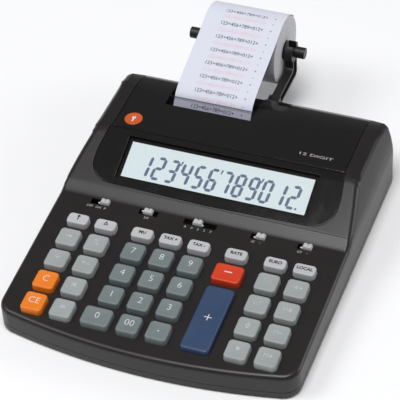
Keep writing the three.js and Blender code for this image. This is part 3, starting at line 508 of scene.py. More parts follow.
class Finish(Enum):
    """Every finish on the calculator."""

    HOUSING = MouldedPlastic(
        "black_housing", (0.0118, 0.0092, 0.0084), 0.36, grain=0.45, depth=0.006,
        unevenness=0.08, tint=0.1,
    )
    GLOSS = PolishedPlastic("black_gloss", (0.0075, 0.0065, 0.0058), 0.12)
    ARM = MouldedPlastic("black_arm", (0.013, 0.0118, 0.011), 0.42, grain=0.4)
    DIGIT_KEY = MouldedPlastic("grey_green_key", (0.16, 0.192, 0.195), 0.5)
    FUNCTION_KEY = MouldedPlastic("mid_grey_key", (0.315, 0.345, 0.338), 0.5)
    SMALL_KEY = MouldedPlastic("light_grey_key", (0.48, 0.485, 0.5), 0.46)
    ORANGE_KEY = MouldedPlastic("orange_key", (0.80, 0.2, 0.008), 0.45, tint=0.05)
    RED_KEY = MouldedPlastic("red_key", (0.62, 0.043, 0.008), 0.42, tint=0.06)
    BLUE_KEY = MouldedPlastic("blue_key", (0.028, 0.056, 0.125), 0.42)
    KNOB = MouldedPlastic("pale_knob", (0.5, 0.5, 0.5), 0.42)
    WHITE_INK = Ink("white_ink", (0.70, 0.73, 0.73), (0.55, 0.58, 0.58))
    PALE_INK = Ink("pale_ink", (0.52, 0.555, 0.565), (0.45, 0.48, 0.48))
    GREY_INK = Ink("grey_ink", (0.48, 0.46, 0.44), (0.3, 0.29, 0.28))
    BLACK_INK = Ink("black_ink", (0.022, 0.022, 0.025), (0.08, 0.08, 0.085))
    SEGMENT = Ink("crystal_segment", (0.15, 0.2, 0.31), (0.17, 0.22, 0.33), 0.3)
    PRINT_BLACK = Ink("ribbon_black", (0.05, 0.052, 0.085), (0.28, 0.29, 0.36), 0.8)
    PRINT_RED = Ink("ribbon_red", (0.74, 0.50, 0.61), (0.76, 0.66, 0.76), 0.8)
    BADGE_ORANGE = Ink("badge_orange", (0.60, 0.095, 0.018), (0.64, 0.12, 0.03), 0.3)
    BADGE_WHITE = Ink("badge_white", (0.82, 0.80, 0.76), (0.75, 0.73, 0.7), 0.3)
    WINDOW = ClearPlastic("window_clear", (0.97, 0.985, 0.99), 0.015)
    TEAR_PLATE = ClearPlastic("tear_plate_clear", (0.955, 0.96, 0.975), 0.015)
    # the last number is the panel's painted glow, an emission that stands in for reflected light
    CRYSTAL = CrystalPanel("crystal_back", (0.80, 0.86, 0.87), 0.2)
    PAPER = PaperFinish("paper", (0.70, 0.715, 0.81))
    ROLL_END = WoundPaper("roll_end", (0.74, 0.74, 0.77), (0.30, 0.20, 0.12), 129.5, 49, 7.3)
    RUBBER = RubberFinish("grey_rubber", (0.11, 0.12, 0.13))
    BLACK_RUBBER = RubberFinish("black_rubber", (0.014, 0.014, 0.014))
    STEEL = SteelFinish("sheet_steel", (0.55, 0.56, 0.57))
    BOARD = BoardFinish("circuit_board", (0.012, 0.10, 0.035), (0.03, 0.2, 0.07))
    LABEL = Ink("blank_label", (0.42, 0.42, 0.41), (0.38, 0.38, 0.37), 0.35)


@cache
def material_of(finish: Finish) -> bpy.types.Material:
    """The material of a finish, built on first use."""
    return finish.value.material()


# ---- Mesh tools ----
def smooth_below(mesh: bpy.types.Mesh, degrees: float) -> None:
    """Shades a mesh smooth, apart from its sharper edges.

    Args:
        mesh: the mesh.
        degrees: edges that turn by more than this stay sharp.
    """
    mesh.polygons.foreach_set("use_smooth", [True] * len(mesh.polygons))
    mesh.set_sharp_from_angle(angle=math.radians(degrees))
    mesh.update()


def placed(name: str, data: bpy.types.ID) -> bpy.types.Object:
    """Puts a mesh, a light or a camera in the scene.

    Args:
        name: the new object's name.
        data: what it shows.

    Returns:
        The new object.
    """
    made = bpy.data.objects.new(name, data)
    bpy.context.scene.collection.objects.link(made)
    return made


def points_of(node: str, place: Matrix) -> list[Vector]:
    """The points of a CAD node in a frame on the housing, in millimetres."""
    back = place.inverted()
    return [back @ (v.co / MM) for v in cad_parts[node].data.vertices]


def corners_of(points: Sequence[Vector]) -> tuple[Vector, Vector]:
    """The lowest and the highest coordinates of some points."""
    axes = [[p[axis] for p in points] for axis in range(3)]
    return Vector([min(values) for values in axes]), Vector([max(values) for values in axes])


def circle(x: float, y: float, radius: float, sides: int) -> Outline:
    """Counter-clockwise outline of a circle."""
    turns = [2 * math.pi * i / sides for i in range(sides)]
    return [(x + radius * math.cos(a), y + radius * math.sin(a)) for a in turns]


def rounded_rectangle(width: float, length: float, radius: float, steps: int = 5) -> Outline:
    """Counter-clockwise outline of a rectangle with round corners.

    Args:
        width: its size along x.
        length: its size along y.
        radius: the radius of its corners.
        steps: how many steps each corner has.

    Returns:
        Points about its middle.
    """
    outline = []
    for sx, sy, start in ((1, -1, -90), (1, 1, 0), (-1, 1, 90), (-1, -1, 180)):
        cx, cy = sx * (width / 2 - radius), sy * (length / 2 - radius)
        for i in range(steps + 1):
            angle = math.radians(start + 90 * i / steps)
            outline.append((cx + radius * math.cos(angle), cy + radius * math.sin(angle)))
    return outline


class Solid:
    """A mesh gathered in millimetres in a frame of its own."""

    def __init__(self, place: Matrix | None = None) -> None:
        """Starts an empty mesh.

        Args:
            place: where its frame lies, in millimetres.
        """
        self.place = place or Matrix.Identity(4)
        self.points: list[Vector] = []
        self.faces: list[tuple[int, ...]] = []

    def ring(self, points: Iterable[Point]) -> list[int]:
        """Adds points.

        Args:
            points: their coordinates in the mesh's frame.

        Returns:
            Their numbers.
        """
        start = len(self.points)
        self.points.extend(self.place @ Vector(p) for p in points)
        return list(range(start, len(self.points)))

    def bridge(self, lower: list[int], upper: list[int]) -> None:
        """Joins two rings of points by quads.

        Args:
            lower: a ring that runs counter-clockwise seen from the other one.
            upper: the other ring, with as many points.
        """
        for i, point in enumerate(lower):
            j = (i + 1) % len(lower)
            self.faces.append((point, lower[j], upper[j], upper[i]))

    def cap(self, ring: list[int], facing_back: bool = False) -> None:
        """Closes a ring by one face."""
        self.faces.append(tuple(reversed(ring)) if facing_back else tuple(ring))

    def stack(self, rings: Iterable[Iterable[Point]]) -> None:
        """Adds rings and joins each to the next, with both ends closed.

        Args:
            rings: counter-clockwise rings, from bottom to top.
        """
        made = [self.ring(points) for points in rings]
        for lower, upper in zip(made, made[1:]):
            self.bridge(lower, upper)
        self.cap(made[0], facing_back=True)
        self.cap(made[-1])

    def prism(self, outline: Sequence[Point], bottom: float, top: float) -> None:
        """Adds a prism on a counter-clockwise outline of (x, y) points."""
        self.stack([[(x, y, z) for x, y in outline] for z in (bottom, top)])

    def loop(self, rings: Iterable[Iterable[Point]]) -> None:
        """Adds rings and joins each to the next and the last to the first.

        Args:
            rings: the rings in order.
        """
        made = [self.ring(points) for points in rings]
        for first, second in zip(made, made[1:] + made[:1]):
            self.bridge(first, second)

    def take(self, mesh: bpy.types.Mesh, bend: Callable[[Vector], Point]) -> None:
        """Adds another mesh and removes the original.

        Args:
            mesh: the other mesh, in millimetres.
            bend: gives the place of each of its points in the frame.
        """
        start = len(self.points)
        self.points.extend(self.place @ Vector(bend(vertex.co)) for vertex in mesh.vertices)
        self.faces.extend(tuple(start + i for i in face.vertices) for face in mesh.polygons)
        bpy.data.meshes.remove(mesh)

    def make(
        self, name: str, finish: Finish, body: str = ROOT, slot: str | None = None,
        replaces: Sequence[str] = (), sharp: float = 35.0,
    ) -> bpy.types.Object:
        """Turns the mesh into a piece of the calculator.

        Args:
            name: the piece's name.
            finish: what it is made of.
            body: the CAD body that it rides on.
            slot: not used.
            replaces: CAD nodes that it stands for.
            sharp: edges over this many degrees stay sharp.

        Returns:
            The new object.
        """
        mesh = bpy.data.meshes.new(name)
        mesh.from_pydata([p * MM for p in self.points], [], self.faces)
        mesh.validate()
        mesh.materials.append(material_of(finish))
        smooth_below(mesh, sharp)
        return settle(placed(name, mesh), body, replaces)


def settle(
    piece: bpy.types.Object, body: str, replaces: Sequence[str],
) -> bpy.types.Object:
    """Gives a piece its body, hides the CAD nodes it replaces, and reports it.

    Args:
        piece: the piece.
        body: the CAD body that it rides on.
        replaces: CAD nodes that it stands for.

    Returns:
        The same piece.
    """
    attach(piece, body)
    if replaces:
        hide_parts(*replaces)
    LOG.info("made %s on %s", piece.name, body)
    return piece


def lettering(
    text: str, height: float, thickness: float, width: float | None = None, weight: float = 0.0,
) -> bpy.types.Mesh:
    """Text as a solid mesh in millimetres, lying in the XY plane and centred on its middle.

    Args:
        text: what it says.
        height: height of a capital or a digit.
        thickness: thickness of the solid.
        width: squeezes or spreads the text to this width.
        weight: makes the strokes bolder, or finer when negative.

    Returns:
        A mesh that isn't linked to any object.
    """
    curve = bpy.data.curves.new("lettering", "FONT")
    curve.body = text
    curve.size = height / 0.73  # a capital takes up 0.73 of the font's size
    curve.extrude = thickness / 2
    curve.offset = weight
    curve.resolution_u = 3
    holder = placed("lettering", curve)
    bpy.context.view_layer.update()
    shown = holder.evaluated_get(bpy.context.evaluated_depsgraph_get())
    mesh = bpy.data.meshes.new_from_object(shown)
    bpy.data.objects.remove(holder)
    bpy.data.curves.remove(curve)
    low, high = corners_of([v.co for v in mesh.vertices])
    mesh.transform(Matrix.Translation((-(low.x + high.x) / 2, -(low.y + high.y) / 2, 0)))
    if width:
        mesh.transform(Matrix.Diagonal((width / (high.x - low.x), 1, 1, 1)))
    return mesh


class Sign(Enum):
    """Marks drawn with straight strokes, as (x0, y0, x1, y1) on a field two units across."""

    UP = ((0, -1, 0, 0.9), (-0.42, 0.35, 0, 0.95), (0.42, 0.35, 0, 0.95))
    RIGHT = ((-1, 0, 0.9, 0), (0.4, 0.45, 1, 0), (0.4, -0.45, 1, 0))
    TRIANGLE = ((-0.75, -0.7, 0.75, -0.7), (0.75, -0.7, 0, 0.8), (0, 0.8, -0.75, -0.7))
    DIVIDE = ((-0.9, 0, 0.9, 0), (0, 0.68, 0, 0.72), (0, -0.72, 0, -0.68))
    TIMES = ((-0.7, -0.7, 0.7, 0.7), (-0.7, 0.7, 0.7, -0.7))
    PLUS = ((-0.9, 0, 0.9, 0), (0, -0.9, 0, 0.9))
    MINUS = ((-0.9, 0, 0.9, 0),)
    EQUALS = ((-0.85, 0.34, 0.85, 0.34), (-0.85, -0.34, 0.85, -0.34))
    DIAMOND = ((0, -0.95, 0.6, 0), (0.6, 0, 0, 0.95), (0, 0.95, -0.6, 0), (-0.6, 0, 0, -0.95))
    STAR = ((0, -0.9, 0, 0.9), (-0.78, -0.45, 0.78, 0.45), (-0.78, 0.45, 0.78, -0.45))
    POINT = ((0, -0.03, 0, 0.03),)


def stroke_outline(line: Point, size: float, x: float, y: float, width: float) -> Outline:
    """Outline of one stroke of a sign, with blunt pointed ends.

    Args:
        line: its two ends on the sign's own field.
        size: how many millimetres one unit of the field is.
        x: the place of the field's middle.
        y: the place of the field's middle.
        width: how wide the stroke is.

    Returns:
        A counter-clockwise outline.
    """
    start = Vector((x + line[0] * size, y + line[1] * size))
    end = Vector((x + line[2] * size, y + line[3] * size))
    ahead = (end - start).normalized() * width / 2
    side = Vector((-ahead.y, ahead.x))
    tip = ahead * 0.8
    corners = (start - side, end - side, end + tip, end + side, start + side, start - tip)
    return [tuple(p) for p in corners]


@dataclass(frozen=True)
class Mark:
    """One letter group or sign of a key's legend, placed from the middle of the key."""

    what: str | Sign
    size: float
    x: float = 0.0
    y: float = 0.0
    width: float = 0.62
    weight: float = -0.1

    def add_to(self, solid: Solid, bend: Callable[[Vector], Point], thickness: float) -> None:
        """Adds the mark to a mesh, bent onto the key's surface.

        Args:
            solid: the mesh.
            bend: gives the place of each point of the flat mark.
            thickness: how thick the ink is.
        """
        if isinstance(self.what, Sign):
            flat, half = Solid(), thickness / 2
            for line in self.what.value:
                flat.prism(stroke_outline(line, self.size, self.x, self.y, self.width), -half, half)
            mesh = bpy.data.meshes.new("sign")
            mesh.from_pydata(flat.points, [], flat.faces)
        else:
            mesh = lettering(self.what, self.size, thickness, weight=self.weight)
            mesh.transform(Matrix.Translation((self.x, self.y, 0)))
        solid.take(mesh, bend)


# ---- Pieces taken over from the CAD model ----
def round_edges(
    work: bmesh.types.BMesh, edges: list[bmesh.types.BMEdge], width: float, steps: int, clamp: bool,
) -> None:
    """Rounds some edges of a mesh.

    Args:
        work: the mesh, in metres.
        edges: the edges.
        width: how wide each rounding is, in millimetres.
        steps: how many steps it has.
        clamp: whether it is kept from overlapping its neighbours.
    """
    bmesh.ops.bevel(
        work, geom=edges, offset=width * MM, offset_type="OFFSET", segments=steps, profile=0.5,
        affect="EDGES", clamp_overlap=clamp,
    )


def softened(
    node: str, name: str, finish: Finish, width: float, body: str = ROOT,
    rim: Callable[[Vector], bool] | None = None, rim_width: float = 0.0,
) -> bpy.types.Object:
    """Copies a CAD node with its hard edges rounded, as a moulding has them.

    Args:
        node: the CAD node that the piece stands for.
        name: the piece's name.
        finish: what it is made of.
        width: how wide each rounded edge is, in millimetres.
        body: the CAD body that it rides on.
        rim: tells which places, in millimetres, are on an edge with a larger rounding.
        rim_width: how wide that larger rounding is, in millimetres.

    Returns:
        The new object.
    """
    weld, flat, rim_turn, corner_turn, smooth_turn = 0.004 * MM, math.radians(0.6), 24.0, 40.0, 38.0
    work = bmesh.new()
    work.from_mesh(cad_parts[node].data)
    bmesh.ops.remove_doubles(work, verts=work.verts, dist=weld)
    bmesh.ops.dissolve_limit(
        work, angle_limit=flat, verts=work.verts, edges=work.edges, use_dissolve_boundaries=False,
    )
    if rim:
        outer = [
            e for e in work.edges
            if e.is_manifold and e.calc_face_angle_signed(0.0) > math.radians(rim_turn)
            and rim((e.verts[0].co + e.verts[1].co) / 2 / MM)
        ]
        LOG.info("%s has %d rim edges", name, len(outer))
        round_edges(work, outer, rim_width, 4, False)
    turn = math.radians(corner_turn)
    hard = [e for e in work.edges if e.is_manifold and e.calc_face_angle(0.0) > turn]
    round_edges(work, hard, width, 2, True)
    mesh = bpy.data.meshes.new(name)
    work.to_mesh(mesh)
    work.free()
    mesh.materials.clear()
    mesh.materials.append(material_of(finish))
    smooth_below(mesh, smooth_turn)
    piece = placed(name, mesh)
    shading = piece.modifiers.new("even_shading", "WEIGHTED_NORMAL")
    shading.weight = 90
    shading.keep_sharp = True
    return settle(piece, body, [node])


def dress(node: str, finish: Finish) -> None:
    """Keeps a CAD node as it is and gives it a finish.

    Args:
        node: the CAD node.
        finish: what it is made of.
    """
    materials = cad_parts[node].data.materials
    materials.clear()
    materials.append(material_of(finish))
    LOG.info("dressed %s", node)


class Skin:
    """The outside of a CAD node, for laying marks on it."""

    def __init__(self, node: str) -> None:
        """Reads the node's mesh."""
        faces = [tuple(p.vertices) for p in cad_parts[node].data.polygons]
        self.tree = BVHTree.FromPolygons(points_of(node, Matrix.Identity(4)), faces)

    def height(self, x: float, y: float) -> float:
        """Height of the outside over a place, in millimetres."""
        hit = self.tree.ray_cast(Vector((x, y, 200)), Vector((0, 0, -1)))[0]
        return hit.z if hit else 0.0


# ---- Housings ----
@dataclass
class Housings:
    """The two shells of the body, with a pad in each foot and a blank plate underneath."""

    edge: float = 0.4
    rim_width: float = 3.2
    rim_low: float = 12.0
    rim_x: float = 91.5
    rim_y: float = -144.0
    pad_radius: float = 5.6
    pad_height: float = 0.8
    pad_edge: float = 0.3
    foot_x: float = 82.5
    foot_ys: tuple[float, float] = (-128.5, 57.5)
    plate_size: tuple[float, float] = (58.0, 34.0)
    plate_y: float = -30.0
    plate_corner: float = 2.5
    underside: float = 2.0

    def build(self) -> None:
        """Makes both shells and what is fastened to them."""
        softened(
            "upper_housing", "upper_shell", Finish.HOUSING, self.edge, rim=self.on_rim,
            rim_width=self.rim_width,
        )
        softened("lower_housing", "lower_shell", Finish.HOUSING, self.edge)
        places = [(x, y) for y in self.foot_ys for x in (-self.foot_x, self.foot_x)]
        for number, (x, y) in enumerate(places, start=1):
            self.foot_pad(f"foot_pad_{number}", x, y)
        self.blank_plate()

    def on_rim(self, place: Vector) -> bool:
        """Whether a place is on the rounded edge round the deck and up the shoulders."""
        return place.z >= self.rim_low and (abs(place.x) > self.rim_x or place.y < self.rim_y)

    def foot_pad(self, name: str, x: float, y: float) -> None:
        """A soft pad set in a moulded foot.

        Args:
            name: the pad's name.
            x: the place of its middle.
            y: the place of its middle.
        """
        pad = Solid()
        wide = self.pad_radius
        levels = ((wide - self.pad_edge, 0.0), (wide, self.pad_edge), (wide, self.pad_height))
        pad.stack([(px, py, z) for px, py in circle(x, y, radius, 40)] for radius, z in levels)
        pad.make(name, Finish.BLACK_RUBBER)

    def blank_plate(self) -> None:
        """A blank adhesive plate on the underside."""
        plate = Solid(Matrix.Translation((0, self.plate_y, 0)))
        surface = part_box("lower_housing")[0].z / MM + self.underside
        outline = rounded_rectangle(*self.plate_size, self.plate_corner)
        plate.prism(outline, surface - 0.15, surface + 0.05)
        plate.make("blank_plate", Finish.LABEL)


# ---- Keys ----
@dataclass(frozen=True)
class KeyStyle:
    """What one group of keys is made of and how its tops are dished."""

    finish: Finish
    slot: str
    ink: Finish
    dish: float
    edge: float


class KeyKind(Enum):
    """The groups of keys."""

    DIGIT = KeyStyle(Finish.DIGIT_KEY, "digit_key", Finish.WHITE_INK, 0.55, 1.0)
    FUNCTION = KeyStyle(Finish.FUNCTION_KEY, "function_key", Finish.PALE_INK, 0.5, 1.0)
    SMALL = KeyStyle(Finish.SMALL_KEY, "small_key", Finish.BLACK_INK, 0.25, 0.9)
    ORANGE = KeyStyle(Finish.ORANGE_KEY, "orange_key", Finish.WHITE_INK, 0.5, 1.0)
    RED = KeyStyle(Finish.RED_KEY, "red_key", Finish.WHITE_INK, 0.5, 1.0)
    BLUE = KeyStyle(Finish.BLUE_KEY, "blue_key", Finish.WHITE_INK, 0.5, 1.1)


@dataclass
class Keycap:
    """One key: a skirt under the deck, a tapering cap with a soft edge, and its legend."""

    node: str
    kind: KeyKind
    marks: tuple[Mark, ...]
    corner: float = 2.4
    base_corner: float = 2.8
    skirt_corner: float = 3.1
    flange_top: float = -2.85
    flange_bottom: float = -3.75
    taper: float = 0.8
    round_steps: int = 5
    corner_loss: float = 0.6
    dish_steps: tuple[float, ...] = (0.93, 0.84, 0.72, 0.58, 0.42, 0.24)
    stem: float = 6.0
    stem_corner: float = 0.8
    ink: float = 0.07
    place: Matrix = field(default_factory=DECK.matrix)

    def measure(self) -> None:
        """Reads the cap's sizes from its CAD node."""
        points = points_of(self.node, self.place)
        self.bottom, self.top = (corner.z for corner in corners_of(points))
        low, high = corners_of([p for p in points if p.z > self.top - 0.05])
        self.x, self.v = (low.x + high.x) / 2, (low.y + high.y) / 2
        self.width, self.length = high.x - low.x, high.y - low.y
        low, high = corners_of([p for p in points if p.z < 0])
        self.skirt = (high.x - low.x, high.y - low.y, self.skirt_corner)

    def dished(self, x: float, y: float) -> float:
        """Height of the dished top.

        Args:
            x: a place measured from the key's middle.
            y: a place measured from the key's middle.

        Returns:
            The height over the deck.
        """
        style = self.kind.value
        share = max(abs(x) / (self.width / 2 - style.edge), abs(y) / (self.length / 2 - style.edge))
        return self.top - style.dish * (1 - min(1.0, share) ** 2)

    def ring(self, width: float, length: float, radius: float, z: float) -> list[Point]:
        """One level outline of the key."""
        return [(self.x + x, self.v + y, z) for x, y in rounded_rectangle(width, length, radius)]

    def build(self) -> None:
        """Makes the cap and its legend."""
        self.measure()
        style = self.kind.value
        stem = (self.stem, min(self.stem, self.length - 2), self.stem_corner)
        base = (self.width + self.taper, self.length + self.taper, self.base_corner)
        rings = [self.ring(*size, z) for size, z in (
            (stem, self.bottom), (stem, self.flange_bottom), (self.skirt, self.flange_bottom),
            (self.skirt, self.flange_top), (base, self.flange_top), (base, 0.0))]
        for i in range(self.round_steps + 1):
            angle = math.pi / 2 * i / self.round_steps
            inset = style.edge * (1 - math.cos(angle))
            height = self.top - style.edge * (1 - math.sin(angle))
            spread = self.taper * (self.top - height) / self.top - 2 * inset
            corner = self.corner - inset * self.corner_loss
            rings.append(self.ring(self.width + spread, self.length + spread, corner, height))
        flat = Vector((self.width - 2 * style.edge, self.length - 2 * style.edge, corner))
        for share in self.dish_steps:
            rings.append(self.ring(*(flat * share), self.top - style.dish * (1 - share**2)))
        cap = Solid(self.place)
        cap.stack(rings)
        cap.make(f"{self.node}_cap", style.finish, self.node, style.slot, [self.node], sharp=42)
        legend = Solid(self.place)
        for mark in self.marks:
            mark.add_to(legend, self.on_top, self.ink)
        legend.make(f"{self.node}_legend", style.ink, self.node, sharp=CRISP)

    def on_top(self, point: Vector) -> Point:
        """Lays a point of the legend on the dished top."""
        return (self.x + point.x, self.v + point.y, self.dished(point.x, point.y) + point.z + 0.01)


@dataclass
class Keyboard:
    """All the keys, the contact mat and the circuit board below them."""

    digit_size: float = 5.0
    lift: float = 1.1
    sign_size: float = 2.0

    def digit(self, what: str) -> tuple[Mark, ...]:
        """Legend of a digit key."""
        return (Mark(what, self.digit_size, 0, self.lift),)

    def sign(self, what: Sign, size: float = 0.0, width: float = 0.6) -> tuple[Mark, ...]:
        """Legend of a key with one sign."""
        return (Mark(what, size or self.sign_size, 0, self.lift, width),)

    def word(self, text: str) -> tuple[Mark, ...]:
        """Legend of a small key."""
        return (Mark(text, 2.5, 0, 0.7, weight=0.13),)

    def memory(self, sign: Sign, size: float) -> tuple[Mark, ...]:
        """Legend of a memory key: M and a sign."""
        return (Mark("M", 3.3, -1.3, self.lift), Mark(sign, size, 1.9, self.lift, 0.5))

    def build(self) -> None:
        """Makes every key in its place, and dresses what lies under them."""
        lift = self.lift
        legends: dict[KeyKind, dict[str, tuple[Mark, ...]]] = {
            KeyKind.DIGIT: {
                **{f"key_{n}": self.digit(str(n)) for n in range(10)},
                "key_00": self.digit("00"),
                "key_point": (Mark(Sign.POINT, 0.6, 0, 0.2, 1.3),),
            },
            KeyKind.SMALL: {
                "key_paper_feed": self.sign(Sign.UP, 2.0, 0.75),
                "key_delta": self.sign(Sign.TRIANGLE, 1.7, 0.6),
                "key_mark_up": self.word("MU"),
                "key_tax_plus": self.word("TAX +"),
                "key_tax_minus": self.word("TAX -"),
                "key_rate": self.word("RATE"),
                "key_euro": self.word("EURO"),
                "key_local": self.word("LOCAL"),
            },
            KeyKind.FUNCTION: {
                "key_backspace": self.sign(Sign.RIGHT),
                "key_percent": self.digit("%"),
                "key_divide": self.sign(Sign.DIVIDE),
                "key_sign_change": (
                    Mark(Sign.PLUS, 1.1, -1.7, lift + 0.5, 0.5), Mark("/", 3.4, 0, lift),
                    Mark(Sign.MINUS, 1.1, 1.8, lift - 0.4, 0.5)),
                "key_multiply": self.sign(Sign.TIMES),
                "key_equals": self.sign(Sign.EQUALS),
                "key_number_print": (
                    Mark("#", 2.7, -1.6, lift + 1.0), Mark("/", 3.2, 0.2, lift),
                    Mark("P", 2.7, 2.0, lift - 0.8)),
                "key_memory_recall": (
                    Mark("M", 2.7, -2.9, lift), Mark(Sign.DIAMOND, 1.3, -0.2, lift, 0.4),
                    Mark(Sign.STAR, 0.9, 2.7, lift, 0.4)),
                "key_grand_total": (Mark("GT", 3.1, 0, lift),),
                "key_memory_subtotal": self.memory(Sign.DIAMOND, 1.5),
                "key_subtotal": self.sign(Sign.DIAMOND, 2.0, 0.5),
                "key_memory_minus": self.memory(Sign.MINUS, 1.1),
                "key_total": self.sign(Sign.STAR, 1.6, 0.5),
                "key_memory_plus": self.memory(Sign.PLUS, 1.1),
            },
            KeyKind.ORANGE: {"key_clear": self.digit("C"), "key_clear_entry": self.digit("CE")},
            KeyKind.RED: {"key_minus": self.sign(Sign.MINUS, 2.8, 0.8)},
            KeyKind.BLUE: {"key_plus": (Mark(Sign.PLUS, 2.7, 0, 1.0, 0.55),)},
        }
        for kind, keys in legends.items():
            for node, marks in keys.items():
                Keycap(node, kind, marks).build()
        dress("key_mat", Finish.RUBBER)
        dress("main_board", Finish.BOARD)


# ---- Switches ----
@dataclass
class SlideSwitches:
    """The slide switches' knobs, each with two rounded lobes, and the printing at their slots."""

    cap_depth: float = 3.0
    length: float = 3.9
    lobe_height: float = 0.95
    lobe_power: float = 0.7
    end_fall: float = 0.6
    end_share: float = 0.2
    edge: float = 0.5
    bevel: tuple[float, float] = (0.2, 0.15)
    steps: int = 10
    stem_length: float = 2.8
    stem_inset: float = 1.6
    pointer: float = 1.5
    pointer_heights: tuple[float, float] = (0.15, 1.0)
    label_height: float = 1.9
    label_row: float = SWITCH_ROW - 4.6
    place: Matrix = field(default_factory=DECK.matrix)

    def build(self) -> None:
        """Makes the five knobs and their labels."""
        labels: dict[str, tuple[tuple[str, float], ...]] = {
            "switch_power": (("OFF", -77.5), ("ON", -71.3), ("P", -66.5)),
            "switch_rounding": (("5/4", -36.6),),
            "switch_decimals": (("A", -8.6), ("0", -3.9), ("2", 0.5), ("3", 4.9), ("F", 9.6)),
            "switch_item_count": (("IC", 39.4), ("-", 44.0)),
            "switch_total": (("GT", 71.6), ("-", 76.6)),
        }
        for node, words in labels.items():
            self.knob(node)
            self.label(node, words)

    def knob(self, node: str) -> None:
        """A knob on its stem, lobed across its top, with a pointer at one side.

        Args:
            node: the switch's CAD node.
        """
        low, high = corners_of(points_of(node, self.place))
        base = high.z - self.cap_depth
        middle_x, middle_y = (low.x + high.x) / 2, (low.y + high.y) / 2
        width, half = high.x - low.x, self.length / 2
        across, down = self.bevel
        rows = []
        for i in range(self.steps + 1):
            x = -width / 2 + width * i / self.steps
            past = max(0.0, abs(x) / (width / 2) - (1 - self.end_share)) / self.end_share
            lobes = abs(math.sin(math.pi * (x / width + 0.5) * 2)) ** self.lobe_power
            top = high.z - self.lobe_height * (1 - lobes) - self.end_fall * past
            side = [(half, top - self.edge), (half - across, top - down), (half - self.edge, top)]
            profile = [(-half, base), (half, base), *side, *((-y, z) for y, z in reversed(side))]
            rows.append([(middle_x + x, middle_y + y, z) for y, z in profile])
        cap = Solid(self.place)
        cap.stack(rows)
        stem = rounded_rectangle(width - self.stem_inset, self.stem_length, 0.3, 2)
        cap.prism([(middle_x + x, middle_y + y) for x, y in stem], low.z, base)
        cap.make(f"{node}_knob", Finish.KNOB, node, "knob", [node], sharp=50)
        side = 1 if node == "switch_decimals" else -1
        root = middle_x + side * width / 2
        front = middle_y - (self.pointer / 2 if node == "switch_rounding" else half)
        tip = (root + side * self.pointer, front + self.pointer * 0.4)
        corners = [(root, front), tip, (root, front + self.pointer)]
        arrow = Solid(self.place)
        arrow.prism(corners[::side], *self.pointer_heights)
        arrow.make(f"{node}_pointer", Finish.WHITE_INK, node, sharp=CRISP)

    def label(self, node: str, words: tuple[tuple[str, float], ...]) -> None:
        """The printing in front of a slot.

        Args:
            node: the switch's CAD node.
            words: each text with its place across the deck.
        """
        printing = Solid(self.place)
        for text, x in words:
            mark = Mark(text, self.label_height, x, self.label_row, weight=0.0)
            mark.add_to(printing, lambda p: (p.x, p.y, p.z + 0.02), 0.04)
        printing.make(f"{node}_label", Finish.GREY_INK, sharp=CRISP)


# ---- Display ----
class Segment(Enum):
    """The seven bars of a digit as (x0, y0, x1, y1) on a field one unit wide and two high."""

    TOP = (0, 2, 1, 2)
    MIDDLE = (0, 1, 1, 1)
    BOTTOM = (0, 0, 1, 0)
    UPPER_LEFT = (0, 1, 0, 2)
    UPPER_RIGHT = (1, 1, 1, 2)
    LOWER_LEFT = (0, 0, 0, 1)
    LOWER_RIGHT = (1, 0, 1, 1)


LIT = {
    "0": "TOP BOTTOM UPPER_LEFT UPPER_RIGHT LOWER_LEFT LOWER_RIGHT",
    "1": "UPPER_RIGHT LOWER_RIGHT",
    "2": "TOP MIDDLE BOTTOM UPPER_RIGHT LOWER_LEFT",
    "3": "TOP MIDDLE BOTTOM UPPER_RIGHT LOWER_RIGHT",
    "4": "MIDDLE UPPER_LEFT UPPER_RIGHT LOWER_RIGHT",
    "5": "TOP MIDDLE BOTTOM UPPER_LEFT LOWER_RIGHT",
    "6": "TOP MIDDLE BOTTOM UPPER_LEFT LOWER_LEFT LOWER_RIGHT",
    "7": "TOP UPPER_RIGHT LOWER_RIGHT",
    "8": "TOP MIDDLE BOTTOM UPPER_LEFT UPPER_RIGHT LOWER_LEFT LOWER_RIGHT",
    "9": "TOP MIDDLE BOTTOM UPPER_LEFT UPPER_RIGHT LOWER_RIGHT",
}


